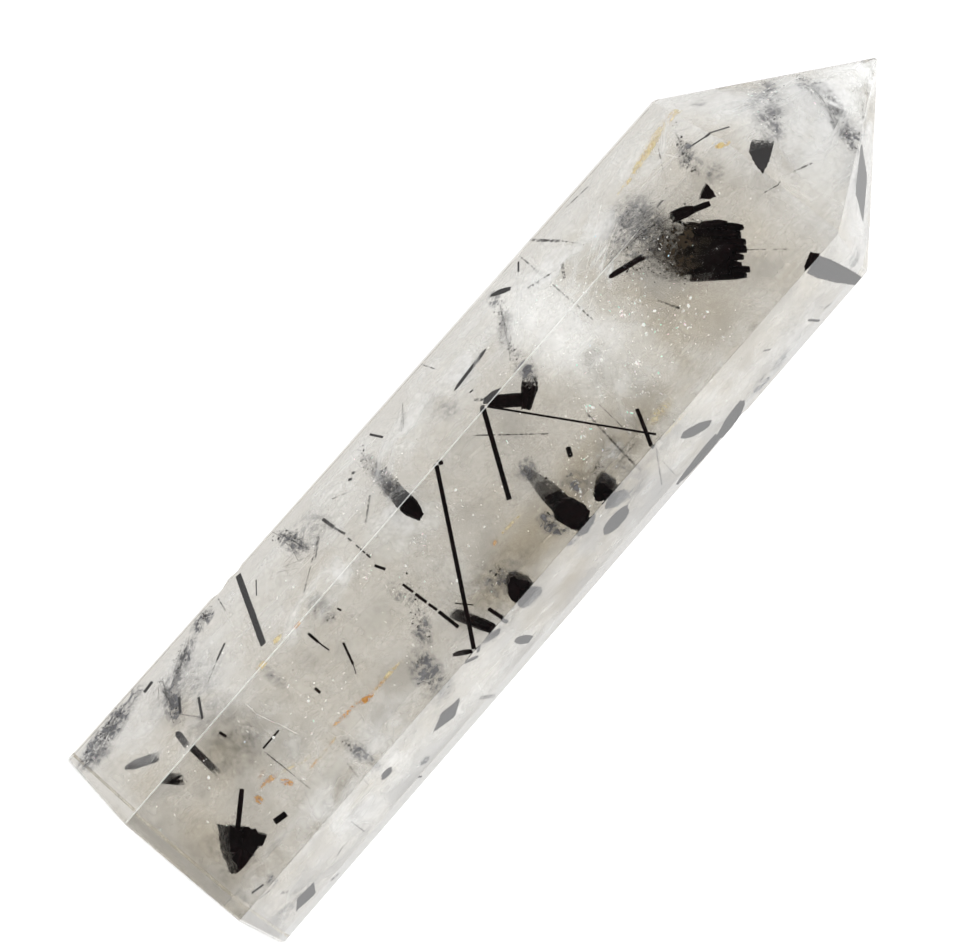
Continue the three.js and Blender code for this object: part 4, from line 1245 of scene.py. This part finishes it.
# Needles that show as broken lines, with gaps where haze fills them.
BROKEN_NEEDLES = [
    ((-9.9, 62.3, 0.6), (-9.2, 64.6, 1.4), 0.22),
    ((-9.2, 64.6, 1.4), (-8.9, 65.9, 1.9), 0.12),
    ((-9.0, 66.2, 1.0), (-7.9, 65.3, 1.5), 0.34),
    ((-12.7, 65.9, 0.3), (-10.5, 67.7, 1.0), 0.32),
    ((-4.6, 48.4, 2.0), (0.6, 53.1, 3.0), 0.13),
    ((2.1, 57.0, 2.6), (8.7, 56.3, 3.4), 0.2),
    ((-9.6, 31.8, 0.8), (-8.2, 29.6, 1.6), 0.22),
    ((1.8, 87.0, 1.0), (2.7, 89.0, 1.6), 0.18),
    ((1.1, 83.9, 1.2), (1.6, 85.3, 1.6), 0.12),
    ((3.3, 78.6, 2.0), (6.2, 81.2, 3.0), 0.1),
    ((0.1, 12.7, 2.5), (2.2, 12.8, 3.5), 0.14),
    ((0.2, 69.5, 4.0), (2.2, 70.3, 4.4), 0.2),
    ((12.2, 30.0, 0.5), (13.1, 31.0, 0.7), 0.5),
    ((10.1, 3.7, 0.5), (10.5, 4.1, 0.6), 0.4),
    ((12.9, 7.6, 0.4), (13.0, 8.6, 0.4), 0.35),
    ((12.6, 79.3, 0.4), (12.8, 80.1, 0.5), 0.25),
    ((-10.4, 67.8, 1.0), (-8.6, 68.9, 1.3), 0.14),
    ((-8.2, 10.2, 1.0), (-6.6, 11.2, 1.5), 0.14),
    ((9.3, 58.8, 0.5), (11.9, 56.6, 1.4), 0.2),
    ((10.5, 58.3, 0.6), (12.2, 58.1, 1.2), 0.1),
    ((12.3, 55.3, 0.6), (12.2, 56.6, 0.9), 0.12),
    ((10.7, 13.1, 0.5), (12.2, 13.2, 1.0), 0.12),
    ((11.6, 10.9, 0.5), (11.8, 9.8, 0.8), 0.16),
    ((-12.8, 20.8, 0.2), (-11.5, 20.4, 0.5), 0.12),
    ((-9.0, 16.3, 1.0), (-8.2, 13.9, 1.4), 0.1),
    ((-12.4, 64.1, 0.4), (-3.3, 64.1, 2.4), 0.16),
    ((-11.9, 73.3, 0.5), (-12.2, 70.4, 0.5), 0.16),
    ((2.2, 12.8, 3.0), (5.7, 12.9, 3.4), 0.07),
    ((-9.4, 31.4, 0.8), (-7.0, 26.6, 1.6), 0.16),
    ((6.8, 17.0, 2.4), (9.6, 16.8, 2.8), 0.1),
    ((-12.8, 50.2, 0.4), (-11.6, 50.7, 0.8), 0.14),
    ((-8.3, 37.6, 1.0), (-6.9, 35.4, 1.6), 0.24),
    ((-10.8, 35.0, 0.6), (-10.0, 36.6, 0.9), 0.12),
    ((2.5, 58.4, 2.6), (6.4, 58.2, 3.4), 0.08),
    ((7.4, 58.4, 2.6), (7.5, 55.2, 3.0), 0.08),
    ((-6.8, 51.0, 0.4), (-5.9, 51.7, 0.8), 0.3),
    ((-9.2, 80.4, 0.8), (-7.6, 79.2, 1.2), 0.1),
    ((4.2, 94.0, 0.8), (4.9, 94.4, 0.8), 0.16),
    ((2.6, 96.3, 0.6), (4.6, 94.3, 0.6), 0.14),
    ((-3.4, 72.0, 3.0), (-3.5, 71.2, 3.4), 0.3),
]


def between(start, end, width):
    """Places a rod of unit length and width between two points in metres."""
    axis = end - start
    turned = axis.to_track_quat("Z", "Y").to_matrix().to_4x4()
    return Matrix.Translation(start) @ turned @ Matrix.Diagonal((width * MM, width * MM, axis.length, 1))


def add_needles(black):
    for name, needles, solid in (("fine_needles", NEEDLES, 1.0), ("broken_needles", BROKEN_NEEDLES, BROKEN)):
        places = [between(sighted(*first), sighted(*second), width) for first, second, width in needles]
        scatter(name, rod(name, 6), places, black, solid)


# Bundles of fibres: two ends as they show, how far the fibres stray, how many, and their width in mm.
GREY_FIBRES = [
    ((-12.9, 29.2, 0.5), (-9.4, 29.9, 1.2), 0.9, 20, 0.03),
    ((-12.6, 16.4, 0.5), (-10.3, 11.6, 1.2), 0.7, 18, 0.03),
    ((-12.0, 11.4, 0.5), (-7.4, 9.4, 1.6), 0.9, 20, 0.03),
    ((-12.8, 7.4, 0.4), (-11.8, 1.2, 0.7), 1.2, 50, 0.035),
    ((-12.7, 19.4, 0.4), (-12.2, 17.0, 0.7), 0.8, 16, 0.03),
    ((-11.4, 59.8, 0.8), (-6.0, 56.2, 2.6), 0.6, 8, 0.025),
    ((-9.4, 82.7, 0.8), (-5.4, 81.0, 1.6), 0.7, 6, 0.025),
    ((-3.8, 94.4, 0.8), (1.5, 94.2, 1.0), 0.9, 8, 0.025),
    ((0.5, 94.2, 0.8), (5.5, 92.5, 1.0), 0.9, 8, 0.025),
    ((-11.8, 46.5, 0.7), (-9.4, 43.4, 1.4), 0.4, 8, 0.025),
    ((-10.5, 26.0, 0.6), (-8.0, 31.0, 1.0), 1.2, 6, 0.025),
    ((-7.0, 72.0, 2.0), (-4.4, 76.5, 3.6), 2.0, 24, 0.025),
]
WHITE_FIBRES = [
    ((-4.6, 64.5, 1.0), (-9.2, 73.5, 1.4), 1.4, 7, 0.013),
    ((-5.3, 15.0, 1.5), (-2.2, 14.9, 2.0), 0.05, 2, 0.014),
    ((-3.2, 14.8, 2.0), (-0.4, 15.6, 2.2), 0.05, 2, 0.014),
    ((-1.0, 15.5, 2.2), (1.8, 16.1, 2.6), 0.05, 2, 0.014),
]


def fibre_places(bundles, seed):
    shuffled = random.Random(seed)
    places = []
    for first, second, stray, count, width in bundles:
        start, end = sighted(*first), sighted(*second)
        for number in range(count):
            shift = Vector([shuffled.gauss(0, stray / 3 * MM) for axis in range(3)])
            fan = Vector([shuffled.gauss(0, stray / 2 * MM) for axis in range(3)])
            low = shuffled.uniform(0, 0.45)
            near = start.lerp(end, low) + shift
            far = start.lerp(end, shuffled.uniform(low + 0.2, 1.0)) + shift + fan
            if within(near) and within(far):
                places.append(between(near, far, width * shuffled.uniform(0.6, 1.6)))
    return places


def add_fibres(black):
    grey_places = fibre_places(GREY_FIBRES, seed=21)
    scatter("grey_fibres", rod("grey_fibre", 4), grey_places, black, GREY)
    white_places = fibre_places(WHITE_FIBRES, seed=22)
    # The white fibres take the flakes' material, and so the same painted glow.
    scatter("white_fibres", rod("white_fibre", 4), white_places, bright_flake())


# Surroundings

FLOOR_DROP = 0.03
# The studio: how bright it is for what the camera sees directly, for dull surfaces, for light that
# comes through the crystal, and for mirrored light, where each direction has its own brightness.
BACKDROP = 1.15
ROOM = 1.35
VIEWER = (Vector((0.0, -1.0, 0.0)), -0.15)
OVERHEAD = (UP, 0.8)
BACKLIGHT = 0.95
BEHIND = (AWAY, -0.4)
BACK_LEFT = (Vector((-0.61, 0.79, 0.0)), -0.42)
MIRRORED = 0.9
CAMERA_SIDE = (Vector((0.0, -1.0, 0.0)), -0.82)
BRIGHT_SIDE = (Vector((0.77, 0.59, -0.25)), 0.75)
# Light that comes through from straight behind is warm.
WARM = (1.0, 0.955, 0.87, 1.0)
WARM_BEHIND = (AWAY, 1.0)
# A lobe starts and is full where a direction's share of its own direction reaches these.
LOBE = (0.55, 0.95)


def add_floor():
    deselect_all()
    bpy.ops.mesh.primitive_plane_add(size=6.0, location=(0, 0, -FLOOR_DROP * MM))
    floor = bpy.context.object
    floor.name = "floor"
    look = Look(bpy.data.materials.new("floor_white"))
    seen = look.add("LightPath").outputs["Is Camera Ray"]
    look.feed(look.shader, {"Base Color": (0.95, 0.95, 0.95, 1.0), "Roughness": 0.9, "Alpha": seen})
    floor.data.materials.append(look.block)


def add_world():
    look = Look(bpy.data.worlds.new("studio"))
    ray = look.add("LightPath").outputs
    warmth = look.combine("MULTIPLY", lobes(look, 0.0, WARM_BEHIND), ray["Is Transmission Ray"])
    mirrored = lobes(look, MIRRORED, CAMERA_SIDE, BRIGHT_SIDE)
    backlight = lobes(look, BACKLIGHT, BEHIND, BACK_LEFT)
    through = look.mix(ray["Is Reflection Ray"], backlight, mirrored, data_type="FLOAT")
    dull = look.combine("GREATER_THAN", ray["Diffuse Depth"], 0.5)
    lit = look.mix(dull, through, lobes(look, ROOM, VIEWER, OVERHEAD), data_type="FLOAT")
    look.feed(look.nodes["Background"], {
        "Color": look.mix(warmth, WHITE, WARM),
        "Strength": look.mix(ray["Is Camera Ray"], lit, BACKDROP, data_type="FLOAT"),
    })
    look.block.cycles.sampling_method = "NONE"
    bpy.context.scene.world = look.block


def lobes(look, brightness, *directions):
    """Brightness by direction: each lobe changes it most straight along its own direction."""
    toward = look.add("TexCoord").outputs["Generated"]
    for axis, change in directions:
        share = look.add("VectorMath", {0: toward, 1: axis}, operation="DOT_PRODUCT").outputs["Value"]
        brightness = look.combine("ADD", look.spread(share, *LOBE, 0.0, change), brightness)
    return brightness


def add_camera():
    data = bpy.data.cameras.new("camera")
    camera = bpy.data.objects.new("camera", data)
    bpy.context.scene.collection.objects.link(camera)
    data.sensor_width = SENSOR
    data.lens = SENSOR * VIEW_DISTANCE / PICTURE_WIDTH
    data.clip_start = 0.01
    data.clip_end = 20.0
    roll = math.pi / 2 - VIEW_LEAN
    right = ACROSS * math.cos(roll) + UP * math.sin(roll)
    upward = UP * math.cos(roll) - ACROSS * math.sin(roll)
    turned = Matrix((right, upward, -AWAY)).transposed().to_4x4()
    camera.matrix_world = Matrix.Translation(EYE * MM) @ turned
    bpy.context.scene.camera = camera


def set_light_paths():
    scene = bpy.context.scene
    scene.view_settings.view_transform = "Standard"
    scene.cycles.max_bounces = 16
    scene.cycles.diffuse_bounces = 4
    scene.cycles.transmission_bounces = 14
    scene.cycles.glossy_bounces = 12
    scene.cycles.transparent_max_bounces = 96


def add_all_films():
    """The veils, streaks, smoke, brown shade and stains, each list with its own material and waves."""
    # The veils and streaks glow by emission: a painted glow that stands in for the light that they scatter.
    add_films("veils", VEILS, (6.0, 1.6), sheet_material(
        "white_veil", VEIL_COLOURS, clouds=230.0, mottle=900.0, amount=0.85,
        dense=(0.32, 0.66), grain=(0.7, 1.2), glow=0.14, twist=0.7, detail=3.5,
    ))
    add_films("streaks", STREAKS, (6.0, 1.2), sheet_material(
        "white_streak", VEIL_COLOURS, clouds=600.0, mottle=1600.0, amount=0.7,
        dense=(0.44, 0.68), glow=0.1, stretch=6, lean=STREAK_LEAN,
    ))
    add_films("smoke_and_shade", SMOKE_AND_SHADE, (5.0, 1.2), sheet_material(
        "smoky_and_shade_film", SMOKE_AND_SHADE_COLOURS, clouds=600.0, mottle=2600.0, amount=0.8,
        dense=(0.36, 0.62), grain=(0.2, 1.4),
    ))
    add_films("shade", SHADE, (5.0, 1.2), sheet_material(
        "brown_shade", SHADE_COLOURS, clouds=500.0, mottle=2000.0, amount=0.8,
        dense=(0.34, 0.6), grain=(0.4, 1.3),
    ))
    add_films("iron_stains", YELLOW_STAINS, (2.0, 0.7), sheet_material(
        "iron_stain", YELLOW, clouds=700.0, mottle=2400.0, amount=1.0,
        dense=(0.34, 0.56), grain=(0.4, 1.4),
    ))
    add_films("rusty_stains", RUSTY_STAINS, (2.0, 0.7), sheet_material(
        "rusty_stain", RUST, clouds=900.0, mottle=2400.0, amount=1.0,
        dense=(0.36, 0.58), grain=(0.4, 1.4),
    ))


add_camera()
add_world()
add_floor()
set_light_paths()
black = black_tourmaline()
add_quartz()
for crystal, crystal_arms in CRYSTALS.items():
    add_crystal(crystal, crystal_arms, black)
add_haze()
add_all_films()
add_flakes(black)
add_needles(black)
add_fibres(black)
